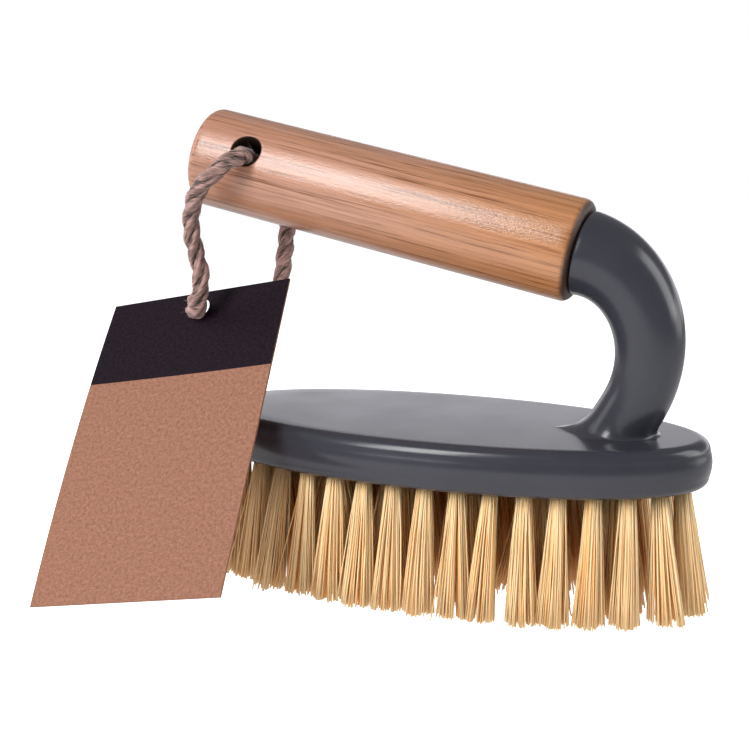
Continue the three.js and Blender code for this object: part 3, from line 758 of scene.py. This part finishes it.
def grip_surface(grip):
    """A turned bar with a cross-hole. The bar is a profile of radius over length carried round the axis.
    Round each mouth a square of its faces is left out and filled by lines from the square to the hole's
    edge, a quarter round, and straight lines through to the other mouth."""
    columns, half, patch_rings, round_steps, lip_steps, wall_steps = 192, 16, 9, 9, 7, 12
    bar_rows, end_rows = 60, 10
    radius = grip.diameter / 2
    cell = FULL_TURN * radius / columns
    start, along, hole = grip_frame(grip)
    side = np.cross(along, hole)
    hole_at = grip.length - grip.hole_from_end
    bore, face_ring, hub_ring = grip.bore_radius, radius - 1.5 * grip.edge, 0.4 * radius

    quarter = np.linspace(0, math.pi / 2, round_steps)
    patch_rows = hole_at + cell * np.arange(-half, half + 1)
    body_rows = np.concatenate([
        np.linspace(grip.edge, patch_rows[0], bar_rows)[1:-1], patch_rows,
        np.linspace(patch_rows[-1], grip.length - grip.edge, end_rows)[1:-1],
    ])
    rows = np.concatenate([
        [grip.bore_depth, BORE_BEVEL, 0.0], [0.0],
        grip.edge * (1 - np.cos(quarter)), body_rows,
        grip.length - grip.edge * (1 - np.sin(quarter)), [grip.length],
    ])
    radii = np.concatenate([
        [bore, bore, bore + BORE_BEVEL], [face_ring],
        radius - grip.edge * (1 - np.sin(quarter)), np.full(len(body_rows), radius),
        radius - grip.edge * (1 - np.cos(quarter)), [hub_ring],
    ])
    cos, sin = circle(columns)
    spokes = cos[:, None] * hole + sin[:, None] * side
    rings = start + rows[:, None, None] * along + radii[:, None, None] * spokes
    points, quads, triangles = loft(rings, start + grip.bore_depth * along, start + grip.length * along)

    first = int(np.argmin(np.abs(rows - patch_rows[0])))
    row_of, column_of = np.divmod(np.arange(len(quads)), columns)
    in_rows = (row_of >= first) & (row_of < first + 2 * half)
    from_mouth = (column_of + half) % (columns // 2)
    quads = quads[~(in_rows & (from_mouth < 2 * half))]

    run = np.arange(-half, half)
    level = np.full(2 * half, half)
    x = np.concatenate([run, level, -run, -level])
    y = np.concatenate([-level, run, level, -run])
    angle = np.arctan2(y, x)
    near = (first + half + y) * columns + x % columns
    far = (first + half + y) * columns + (columns // 2 - x) % columns

    def on_bar(flat_x, flat_y, flip):
        phi = flat_x / radius
        around = flip * np.cos(phi)[..., None] * hole + np.sin(phi)[..., None] * side
        return start + (hole_at + flat_y)[..., None] * along + radius * around

    def in_hole(rho, depth, flip):
        across, up = rho * np.cos(angle), rho * np.sin(angle)
        reach = np.sqrt(radius**2 - across**2) - depth
        return start + (hole_at + up)[:, None] * along + across[:, None] * side + flip * reach[:, None] * hole

    hole_radius = grip.hole_diameter / 2
    rim = hole_radius + grip.hole_edge
    rim_x, rim_y = radius * np.arcsin(rim * np.cos(angle) / radius), rim * np.sin(angle)
    share = np.linspace(0, 1, patch_rings)[1:, None]
    patch_x = (1 - share) * cell * x + share * rim_x
    patch_y = (1 - share) * cell * y + share * rim_y
    turns = np.linspace(0, math.pi / 2, lip_steps)[1:]
    lip_radii = hole_radius + grip.hole_edge * (1 - np.sin(turns))
    lip_depths = grip.hole_edge * (1 - np.cos(turns))
    mouths = []
    for flip in (1, -1):
        lip = [in_hole(rho, depth, flip) for rho, depth in zip(lip_radii, lip_depths)]
        mouths.append(np.concatenate([on_bar(patch_x, patch_y, flip), np.stack(lip)]))
    through = np.linspace(0, 1, wall_steps)[1:-1, None, None]
    wall = (1 - through) * mouths[0][-1] + through * mouths[1][-1]
    hole_rings = np.concatenate([mouths[0], wall, mouths[1][::-1]])
    inside = len(points) + np.arange(hole_rings.shape[0] * len(x)).reshape(-1, len(x))
    hole_quads = strip_faces(np.vstack([near, inside, far]))
    # The hole's wall gets tone 0, which the bamboo material paints as shade
    in_wall = np.zeros(len(hole_rings))
    in_wall[patch_rings:-patch_rings] = 1.0
    tone_and_shade = np.concatenate([np.ones(len(points)), 1 - np.repeat(in_wall, len(x))])
    points = np.vstack([points, hole_rings.reshape(-1, 3)])
    quads = np.vstack([quads, hole_quads])
    used, numbers = np.unique(np.concatenate([quads.ravel(), triangles.ravel()]), return_inverse=True)
    quads, triangles = numbers[:quads.size].reshape(-1, 4), numbers[quads.size:].reshape(-1, 3)
    return points[used], quads, triangles, tone_and_shade[used]


def row_of_tufts(head, inset, count, offset, lean):
    """Roots evenly spaced along the outline at an inset, and tips moved outwards square to it."""
    outline_steps, ahead_by = 4001, 1e-5
    line = head_outline(head, inset, np.linspace(0, FULL_TURN, outline_steps))
    along = lengths_along(line)
    at = (np.arange(count) + offset) / count * along[-1]
    roots = np.stack([np.interp(at, along, line[:, k]) for k in range(2)], -1)
    ahead = np.stack([np.interp((at + ahead_by) % along[-1], along, line[:, k]) for k in range(2)], -1)
    way = unit(ahead - roots)
    return roots, roots + lean * np.stack([way[:, 1], -way[:, 0]], -1)


def tuft_places(head, bristle):
    """Roots and tips of the outer row, and of the middle and straight rows together."""
    outer = row_of_tufts(
        head, bristle.outer_inset, bristle.outer_tufts, bristle.outer_offset, bristle.outer_lean)
    middle = row_of_tufts(
        head, bristle.middle_inset, bristle.middle_tufts, bristle.middle_offset, bristle.middle_lean)
    steps = np.arange(bristle.inner_tufts) - (bristle.inner_tufts - 1) / 2
    straight = np.stack([head.centre_x + steps * bristle.inner_pitch, np.zeros(bristle.inner_tufts)], -1)
    return outer, tuple(np.vstack([m, straight]) for m in middle)


def filament_surface(head, bristle, roots, tips, seed, count, fullness, painted_shade_shift):
    """Three-sided filaments. In each tuft they fill a disc in a sunflower spiral at the root and spread to a
    wider one at the tip, where they draw together in bunches; each bows a little, some stray, and their ends
    are uneven. Tone rises from a tuft's core to its outside as painted shade inside the tuft, and the inner
    rows are painted darker still, on top of a random spread of tone."""
    root_jitter, tip_jitter, tuft_jitter, bow_reach = 0.00008, 0.0003, 0.0005, 0.0002
    stray_share, stray_reach = 0.012, 0.0028
    splay_spread, reach_spread, girth_spread = 0.09, 0.08, 0.12
    shaded_core_tone, rim_lightening, tone_spread, tip_shape = 0.2, 0.45, 0.15, (1.2, 2.2)
    rng = np.random.default_rng(seed)
    tufts = len(roots)
    number = np.arange(count)
    turn = number * GOLDEN_ANGLE + rng.uniform(0, FULL_TURN, (tufts, 1))
    spread = np.sqrt((number + 0.5) / count)
    disc = spread[:, None] * np.stack([np.cos(turn), np.sin(turn)], -1)
    size = (tufts, count, 2)
    start = roots[:, None] + fullness * bristle.root_radius * disc + rng.normal(0, root_jitter, size)
    heart = np.take_along_axis(disc, rng.integers(0, count, (tufts, bristle.clumps, 1)), axis=1)
    nearest = np.argmin(np.linalg.norm(disc[:, :, None] - heart[:, None], axis=-1), axis=-1)
    bunch = np.take_along_axis(heart, nearest[..., None], axis=1)
    gathered = disc + bristle.clump_pull * (bunch - disc)
    splay = fullness * bristle.tip_radius * rng.normal(1, splay_spread, (tufts, 1, 1))
    end = tips[:, None] + splay * gathered * rng.normal(1, reach_spread, (tufts, count, 1))
    end = end + rng.normal(0, tip_jitter, size)
    stray = rng.random((tufts, count, 1)) < stray_share
    end = end + stray * rng.normal(0, stray_reach, size)
    end = end + rng.normal(0, tuft_jitter, (tufts, 1, 2))
    bow = rng.normal(0, bow_reach, size)
    top = head.underside + bristle.depth
    tip_z = bristle.unevenness * rng.beta(*tip_shape, (tufts, count))
    w = np.array([0.0, 0.4, 0.75, 1.0])[:, None]
    centre = start[:, :, None] + (end - start)[:, :, None] * w + bow[:, :, None] * (4 * w * (1 - w))
    z = top + (tip_z - top)[:, :, None] * w[:, 0]
    line = np.concatenate([centre, z[..., None]], -1)
    corner = rng.uniform(0, FULL_TURN, (tufts, count, 1)) + THIRDS
    girth = bristle.filament_radius * rng.normal(1, girth_spread, (tufts, count, 1, 1, 1))
    ring = np.stack([np.cos(corner), np.sin(corner), np.zeros_like(corner)], -1)[:, :, None]
    points = (line[:, :, :, None] + girth * ring).reshape(-1, 3)
    quads, caps = tube_faces(tufts * count, w.size)
    # Painted shade: filaments near a tuft's core are darker amber, and the inner rows darker still. A random
    # spread is added on top
    tone_and_shade = shaded_core_tone + rim_lightening * spread**2 - painted_shade_shift + rng.normal(0, tone_spread, (tufts, count))
    return points, quads, caps, np.repeat(np.clip(tone_and_shade, 0, 1).ravel(), 3 * w.size)


def ply_lines(line, twine):
    """The plies' middle lines wound round a line, and their outward directions. The winding starts from the
    direction square to the line that leans towards +X."""
    way = unit(np.gradient(line, axis=0))
    first = unit(ALONG_X - way[:, :1] * way)
    second = np.cross(way, first)
    turns = FULL_TURN * lengths_along(line) / twine.pitch
    plies = []
    for k in range(twine.plies):
        turn = (turns + FULL_TURN * k / twine.plies)[:, None]
        out = np.cos(turn) * first + np.sin(turn) * second
        plies.append((line + twine.lay_radius * out, out))
    return plies


def ply_frames(middle, out):
    """Two directions square to a ply's middle line, the first of them outwards."""
    way = unit(np.gradient(middle, axis=-2))
    normal = unit(out - np.sum(out * way, -1, keepdims=True) * way)
    return normal, np.cross(way, normal)


def twisted_cord(line, twine, seed, taper=0.0):
    """Plies wound round a line. A ply's section is a circle with shallow furrows that turn along it, and
    its girth swells and thins; the ends close in a point. Returns points, faces, UV in metres and tone, which
    holds painted light on the swellings and painted shade in the furrows and in the grooves between plies."""
    sides, phases, fray_swell, tip_share, tip_power = 20, 6.3, 0.5, 0.12, 0.6
    base_tone, relief_light_and_shade, end_tone, groove_shade_width, groove_shade_power = 0.72, 2.6, 0.5, 0.42, 0.7
    swell_depth, swell_waves = 0.035, (0.0031, 0.0053, 0.0117)
    furrow_waves = ((3, 0.0095, 0.06), (5, 0.0065, 0.05), (8, -0.012, 0.03))
    rng = np.random.default_rng(seed)
    phi = even_turns(sides)
    plies = []
    for middle, out in ply_lines(line, twine):
        along = lengths_along(middle)
        normal, other = ply_frames(middle, out)
        swell = np.zeros(len(along))
        for wave in swell_waves:
            swell += swell_depth * np.sin(FULL_TURN * along / wave + rng.uniform(0, phases))
        furrow = np.zeros((len(along), sides))
        for lobes, wave, depth in furrow_waves:
            turned = (FULL_TURN * along / wave)[:, None]
            furrow += depth * np.cos(lobes * phi + turned + rng.uniform(0, phases))
        girth = twine.ply_radius * (1 + swell[:, None] + furrow)
        fray = np.exp(-(np.linalg.norm(middle - FRAY_PLACE, axis=1) / twine.diameter) ** 2)
        girth = girth * (1 + fray_swell * fray)[:, None]
        if taper:
            girth = girth * np.clip((along[-1] - along) / taper, tip_share, 1)[:, None] ** tip_power
        ring = np.cos(phi)[:, None] * normal[:, None] + np.sin(phi)[:, None] * other[:, None]
        points, quads, caps = loft(middle[:, None] + girth[..., None] * ring, middle[0], middle[-1])
        wrapped = np.stack([np.broadcast_to(phi * twine.ply_radius, girth.shape),
                            np.broadcast_to(along[:, None], girth.shape)], -1).reshape(-1, 2)
        uv = np.vstack([wrapped, [[0.0, along[0]], [0.0, along[-1]]]])
        # Painted shade in the groove between plies, and painted light on the swellings and furrow crests
        groove_shade = np.clip(groove_shade_width - np.cos(phi), 0, None) ** groove_shade_power
        tone_and_shade = np.clip(base_tone + relief_light_and_shade * (furrow + swell[:, None]) - groove_shade, 0, 1)
        plies.append((points, quads, caps, uv, np.concatenate([tone_and_shade.ravel(), [end_tone, end_tone]])))
    return joined(*plies)


def loose_hairs(line, twine, count, seed, reach=0.0011, longest=0.0034):
    """Thin curved fibres that start on the plies' surface, run along it, lift off by a power of the way along
    them and curl by its square, each a three-sided tube that narrows to its tip."""
    steps, shortest, curl_reach, thinnest, thickest = 5, 0.0012, 0.0004, 0.00004, 0.00007
    steepest, root_level, lift_power, narrowing = 0.45, 0.97, 1.6, 0.75
    rng = np.random.default_rng(seed)
    middles = np.stack([middle for middle, _ in ply_lines(line, twine)])
    which = rng.integers(0, twine.plies, count)
    at = rng.integers(2, len(line) - 2, count)
    root = middles[which, at]
    way = unit(middles[which, at + 1] - root) * rng.choice([-1, 1], (count, 1))
    any_way = unit(rng.normal(size=(count, 3)))
    out = unit(any_way - np.sum(any_way * way, -1, keepdims=True) * way)
    length = rng.uniform(shortest, longest, (count, 1))
    lift = np.minimum(steepest * length * rng.random((count, 1)), reach)
    w = np.linspace(0, 1, steps)[:, None]
    curl = rng.uniform(-curl_reach, curl_reach, (count, 1, 3))
    spine = (root + twine.ply_radius * root_level * out)[:, None] + (length * way)[:, None] * w
    spine = spine + (lift * out)[:, None] * w**lift_power + curl * w**2
    girth = rng.uniform(thinnest, thickest, (count, 1, 1, 1)) * (1 - narrowing * w[None, :, :, None])
    points = three_sided(spine, girth, out[:, None], np.cross(way, out)[:, None])
    quads, caps = tube_faces(count, steps)
    tone_and_shade = np.repeat(rng.uniform(0.7, 1.0, count), 3 * steps)
    return points, quads, caps, np.zeros((len(points), 2)), tone_and_shade


def surface_fibres(line, twine, count, seed):
    """Fibres that lie on the plies: each keeps to a ply's surface for a few millimetres while it turns a
    little round the ply, as a three-sided tube with closed ends."""
    taper = np.array([0.4, 0.9, 1.0, 0.9, 0.4])
    thinnest, thickest, lowest, highest = 0.00008, 0.00017, 0.98, 1.07
    shortest_stride, strides_end, turn_mean, turn_spread = 2, 5, 0.12, 0.06
    tone_shape, uv_reach = (0.8, 0.7), 0.1
    steps = len(taper)
    rng = np.random.default_rng(seed)
    middles, outs = (np.stack(part) for part in zip(*ply_lines(line, twine)))
    normals, others = ply_frames(middles, outs)
    stride = rng.integers(shortest_stride, strides_end, (count, 1))
    last_start = len(line) - (steps - 1) * stride[:, 0]
    at = rng.integers(0, last_start, count)[:, None] + stride * np.arange(steps)
    ply = rng.integers(0, twine.plies, (count, 1))
    phi = rng.uniform(0, FULL_TURN, (count, 1))
    phi = phi + rng.normal(turn_mean, turn_spread, (count, 1)) * stride * np.arange(steps)
    cos, sin = np.cos(phi)[..., None], np.sin(phi)[..., None]
    outward = cos * normals[ply, at] + sin * others[ply, at]
    sideways = cos * others[ply, at] - sin * normals[ply, at]
    level = twine.ply_radius * rng.uniform(lowest, highest, (count, 1, 1))
    spine = middles[ply, at] + level * outward
    girth = rng.uniform(thinnest, thickest, (count, 1, 1, 1)) * taper[None, :, None, None]
    points = three_sided(spine, girth, outward, sideways)
    quads, caps = tube_faces(count, steps)
    tone_and_shade = np.repeat(rng.beta(*tone_shape, count), 3 * steps)
    uv = np.repeat(rng.uniform(0, uv_reach, (count, 2)), 3 * steps, axis=0)
    return points, quads, caps, uv, tone_and_shade


def knot_line():
    """The tied ends: a line that winds a little over two turns round the way between the twine's ends."""
    steps, winds, first_wind, widest, fullness = 90, 2.15, -0.2, 0.0027, 0.35
    end_gap, overrun = 0.08, 0.03
    start, end = TWINE_ROUTE[0], TWINE_ROUTE[-1]
    axis = unit(end - start)
    first = unit(UP - (UP @ axis) * axis)
    second = np.cross(axis, first)
    w = np.linspace(0, 1, steps)
    turn = FULL_TURN * (winds * w + first_wind)
    radius = widest * np.sin(math.pi * np.clip(w * (1 + 2 * overrun) - overrun, 0, 1)) ** fullness
    wound = np.cos(turn)[:, None] * first + np.sin(turn)[:, None] * second
    return start + (end - start) * (end_gap + (1 - 2 * end_gap) * w)[:, None] + radius[:, None] * wound


def tail_line(direction, length):
    """A loose end that leaves the knot and droops."""
    steps, droop = 40, 0.0012
    middle = (TWINE_ROUTE[0] + TWINE_ROUTE[-1]) / 2
    w = np.linspace(0, 1, steps)[:, None]
    return middle + length * w * unit(direction) - droop * w**2 * UP


def turn_about(axis, angle):
    """Matrix of a turn about X, Y or Z."""
    c, s = math.cos(angle), math.sin(angle)
    i, j = {"X": (1, 2), "Y": (2, 0), "Z": (0, 1)}[axis]
    matrix = np.eye(3)
    matrix[i, i], matrix[i, j], matrix[j, i], matrix[j, j] = c, -s, s, c
    return matrix


def tag_surface(tag):
    """A card with a round hole, whose left edge bows forward by bow (1 - u)^2 4v(1 - v). Lines run from the
    hole's edge to the card's edge on the front, over the card's edge, and back on the rear to the hole; UV is
    the place on the front, and below it on the rear."""
    per_side, steps, spacing_power, rear_shift = 32, 13, 1.6, 2.0
    bottom, top = tag.hole_from_top - tag.height, tag.hole_from_top
    run = np.linspace(0, 1, per_side, endpoint=False)
    corners = np.array([(-0.5, bottom), (0.5, bottom), (0.5, top), (-0.5, top)]) * [tag.width, 1.0]
    edge = np.concatenate([a + run[:, None] * (b - a) for a, b in zip(corners, np.roll(corners, -1, axis=0))])
    rim = tag.hole_diameter / 2 * unit(edge) + tag.hole_shift
    share = (np.linspace(0, 1, steps) ** spacing_power)[:, None, None]
    face = (1 - share) * rim + share * edge
    half = tag.thickness / 2
    front = np.concatenate([face, np.full((*face.shape[:2], 1), half)], -1)
    rear = front[::-1] * [1, 1, -1]
    sheet = np.concatenate([front, rear])
    index = np.arange(sheet.shape[0] * sheet.shape[1]).reshape(sheet.shape[:2])
    quads = strip_faces(np.vstack([index, index[:1]]))
    turned = turn_about("Z", tag.yaw) @ turn_about("X", tag.lean) @ turn_about("Y", tag.roll)
    across, up, front_way = turned @ [1, 0, 0], turned @ [0, 0, 1], turned @ [0, -1, 0]
    flat = sheet.reshape(-1, 3)
    uv = np.stack([flat[:, 0] / tag.width + 0.5, (flat[:, 1] - bottom) / tag.height], -1)
    lift = flat[:, 2] + tag.bow * (1 - uv[:, 0]) ** 2 * 4 * uv[:, 1] * (1 - uv[:, 1])
    points = TAG_SEAT + flat[:, :1] * across + flat[:, 1:2] * up + lift[:, None] * front_way
    uv[flat[:, 2] < 0, 1] -= rear_shift
    return points, quads, uv


# Stage and operators


def aim_object(holder, place, target):
    """Puts an object at a place, with its -Z axis towards a target."""
    place, target = Vector(place), Vector(target)
    holder.location = place
    holder.rotation_mode = "QUATERNION"
    holder.rotation_quaternion = (target - place).to_track_quat("-Z", "Y")


class BRUSH_OT_stage(bpy.types.Operator):
    """Camera, soft lights, pale floor and bright surroundings"""

    bl_idname = "brush.stage"
    bl_label = "Stage"

    def execute(self, context):
        scene = context.scene
        stage = scene.brush_stage
        camera = link_object("photo_camera", bpy.data.cameras.new("photo_camera"))
        aim_object(camera, stage.camera_place, stage.camera_aim)
        camera.data.lens = stage.lens
        camera.data.sensor_width = 36.0
        camera.data.clip_start = 0.01
        scene.camera = camera
        cool = (0.94, 0.92, 1.0)
        light_aim = (0.0, 0.0, 0.06)
        lights = (
            ("key_front", (-0.32, -0.82, 0.64), (0.36, 0.7), stage.key, WHITE),
            ("softbox_right", (0.75, 0.25, 0.42), (0.4, 0.6), stage.strip, WHITE),
            ("softbox_left", (-0.95, -0.2, 0.45), (0.5, 0.7), stage.side, WHITE),
            ("softbox_low", (0.8, 0.5, 0.12), (0.5, 0.24), stage.low, WHITE),
            ("backdrop", (-0.3, 1.5, 0.22), (3.6, 0.44), stage.rear, cool),
        )
        for name, light_place, size, power, colour in lights:
            lamp = bpy.data.lights.new(name, "AREA")
            lamp.shape = "RECTANGLE"
            lamp.size, lamp.size_y = size
            lamp.energy = power
            lamp.color = colour
            holder = link_object(name, lamp)
            aim_object(holder, light_place, light_aim)
            holder.visible_camera = False
        floor_sides = 96
        cos, sin = circle(floor_sides)
        radii = np.array([0.05, 0.3, 0.6, 1.0])[:, None, None]
        rings = radii * np.stack([cos, sin, np.zeros(floor_sides)], -1)
        points, quads, fan = loft(rings, np.zeros(3))
        mesh = bpy.data.meshes.new("floor")
        mesh.from_pydata(points.tolist(), [], quads[:, ::-1].tolist() + fan[:, ::-1].tolist())
        mesh.materials.append(floor_material(stage))
        floor = link_object("floor", mesh)
        world = bpy.data.worlds.new("studio")
        world.use_nodes = True
        tree = world.node_tree
        seen = tree.nodes.new("ShaderNodeLightPath").outputs["Is Camera Ray"]
        strength = add_range(tree, seen, WHOLE_RANGE, (stage.ambient, 1.0))
        set_inputs(tree, tree.nodes["Background"], Color=(*WHITE, 1.0), Strength=strength)
        scene.world = world
        scene.view_settings.view_transform = "Standard"
        return {"FINISHED"}


class BRUSH_OT_twine(bpy.types.Operator):
    """Twisted jute loop with its loose hairs, and the knot of its ends"""

    bl_idname = "brush.twine"
    bl_label = "Twine loop"

    def execute(self, context):
        fray_reach, fray_longest = 0.0018, 0.0046
        tail_length, tail_taper, tail_hairs = 0.0115, 0.003, 60
        tail_ways = ((0.45, 0.55, -0.7), (-0.15, 0.75, -0.65))
        loop_seed, hair_seed, fray_seed, fibre_seed = 3, 5, 7, 9
        knot_seed, tail_seed, tail_hair_seed = 11, 20, 30
        twine = context.scene.brush_twine
        material = jute_material(twine)
        line = even_line(catmull_rom(TWINE_ROUTE, steps=40), TWINE_SPACING)
        frayed = line[np.linalg.norm(line - FRAY_PLACE, axis=1) < twine.diameter]
        points, quads, triangles, uv, tone_and_shade = joined(
            twisted_cord(line, twine, loop_seed), loose_hairs(line, twine, twine.hairs, hair_seed),
            loose_hairs(frayed, twine, twine.fray_hairs, fray_seed, fray_reach, fray_longest),
            surface_fibres(line, twine, twine.fibres, fibre_seed))
        loop = make_piece("twine_loop", points, [quads, triangles], material, "loop", uv, tone_and_shade)
        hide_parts("jute_twine")
        parts = [twisted_cord(even_line(knot_line(), TWINE_SPACING), twine, knot_seed)]
        for number, way in enumerate(tail_ways):
            tail = even_line(tail_line(way, tail_length), TWINE_SPACING)
            parts.append(twisted_cord(tail, twine, tail_seed + number, tail_taper))
            parts.append(loose_hairs(tail, twine, tail_hairs, tail_hair_seed + number))
        points, quads, triangles, uv, tone_and_shade = joined(*parts)
        knot = make_piece("tied_ends", points, [quads, triangles], material, "loop", uv, tone_and_shade)
        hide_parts("twine_knot")
        return {"FINISHED"}


class BRUSH_OT_moulding(bpy.types.Operator):
    """Head and swan neck in one glossy moulding"""

    bl_idname = "brush.moulding"
    bl_label = "Head and neck"

    def execute(self, context):
        scene = context.scene
        points, quads, triangles = moulding_surface(scene.brush_head, scene.brush_neck, scene.brush_grip)
        material = moulding_material(scene.brush_head)
        piece = make_piece("head_and_neck", points, [quads, triangles], material, "brush")
        sharpen(piece, degrees=50)
        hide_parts("brush_body")
        return {"FINISHED"}


class BRUSH_OT_grip(bpy.types.Operator):
    """Turned bamboo grip with its cross-hole"""

    bl_idname = "brush.grip"
    bl_label = "Bamboo grip"

    def execute(self, context):
        grip = context.scene.brush_grip
        points, quads, triangles, tone_and_shade = grip_surface(grip)
        material = bamboo_material(grip)
        piece = make_piece("turned_grip", points, [quads, triangles], material, "brush", tone_and_shade=tone_and_shade)
        sharpen(piece, degrees=50)
        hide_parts("bamboo_grip")
        return {"FINISHED"}


class BRUSH_OT_bristles(bpy.types.Operator):
    """Four groups of bristle tufts"""

    bl_idname = "brush.bristles"
    bl_label = "Bristle tufts"

    def execute(self, context):
        scene = context.scene
        head, bristle = scene.brush_head, scene.brush_bristle
        outer, inner = tuft_places(head, bristle)
        material = bristle_material(bristle)
        thin = (bristle.filaments, 1.0, 0.0)
        # The inner rows are painted darker, as painted shade for the tufts inside
        in_shade, first_seed = 0.25, 40
        full = (bristle.inner_filaments, bristle.inner_fullness, in_shade)
        groups = (
            ("front_tufts", "front_bristles", outer, outer[0][:, 1] < 0, thin),
            ("back_tufts", "back_bristles", outer, outer[0][:, 1] > 0, thin),
            ("inner_tufts_left", "inner_bristles_left", inner, inner[0][:, 0] < head.centre_x, full),
            ("inner_tufts_right", "inner_bristles_right", inner, inner[0][:, 0] > head.centre_x, full),
        )
        for number, (name, node, (roots, tips), mine, kind) in enumerate(groups):
            points, quads, caps, tone_and_shade = filament_surface(
                head, bristle, roots[mine], tips[mine], first_seed + number, *kind)
            piece = make_piece(name, points, [quads, caps], material, "brush", tone_and_shade=tone_and_shade)
            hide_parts(node)
        return {"FINISHED"}


class BRUSH_OT_anchors(bpy.types.Operator):
    """Metal anchors that hold the tufts inside the head"""

    bl_idname = "brush.anchors"
    bl_label = "Tuft anchors"

    def execute(self, context):
        material = steel_material()
        anchors = [o for name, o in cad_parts.items() if name.startswith("tuft_anchor_")]
        if not anchors:
            raise RuntimeError("the frame has no tuft anchors")
        for anchor in anchors:
            if not anchor.material_slots:
                raise RuntimeError(f"{anchor.name} has no material slot")
            for holder in anchor.material_slots:
                holder.material = material
        return {"FINISHED"}


class BRUSH_OT_tag(bpy.types.Operator):
    """Kraft card tag on the twine"""

    bl_idname = "brush.tag"
    bl_label = "Card tag"

    def execute(self, context):
        tag = context.scene.brush_tag
        points, quads, uv = tag_surface(tag)
        piece = make_piece("card_tag", points, [quads], card_material(tag), "tag", uv)
        sharpen(piece, degrees=40)
        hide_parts("swing_tag")
        return {"FINISHED"}


OPERATORS = (
    BRUSH_OT_stage, BRUSH_OT_twine, BRUSH_OT_moulding, BRUSH_OT_grip, BRUSH_OT_bristles, BRUSH_OT_anchors,
    BRUSH_OT_tag,
)


class BRUSH_PT_panel(bpy.types.Panel):
    """Lists the brush's pieces and their settings"""

    bl_label = "Scrubbing brush"
    bl_idname = "BRUSH_PT_panel"
    bl_space_type = "VIEW_3D"
    bl_region_type = "UI"
    bl_category = "Brush"

    def draw(self, context):
        for operator in OPERATORS:
            self.layout.operator(operator.bl_idname)
        for name, settings in SETTINGS.items():
            box = self.layout.box()
            box.label(text=settings.__doc__)
            for key in settings.__annotations__:
                box.prop(getattr(context.scene, name), key)


SETTINGS = {
    "brush_head": HeadSettings,
    "brush_neck": NeckSettings,
    "brush_grip": GripSettings,
    "brush_bristle": BristleSettings,
    "brush_twine": TwineSettings,
    "brush_tag": TagSettings,
    "brush_stage": StageSettings,
}


def register():
    for cls in (*SETTINGS.values(), *OPERATORS, BRUSH_PT_panel):
        bpy.utils.register_class(cls)
    for name, settings in SETTINGS.items():
        setattr(bpy.types.Scene, name, PointerProperty(type=settings))


def unregister():
    for name in SETTINGS:
        delattr(bpy.types.Scene, name)
    for cls in (BRUSH_PT_panel, *reversed(OPERATORS), *reversed(SETTINGS.values())):
        bpy.utils.unregister_class(cls)


def main():
    register()
    bpy.ops.brush.stage()
    bpy.ops.brush.twine()
    bpy.ops.brush.moulding()
    bpy.ops.brush.grip()
    bpy.ops.brush.bristles()
    bpy.ops.brush.anchors()
    bpy.ops.brush.tag()


if __name__ == "__main__":
    main()
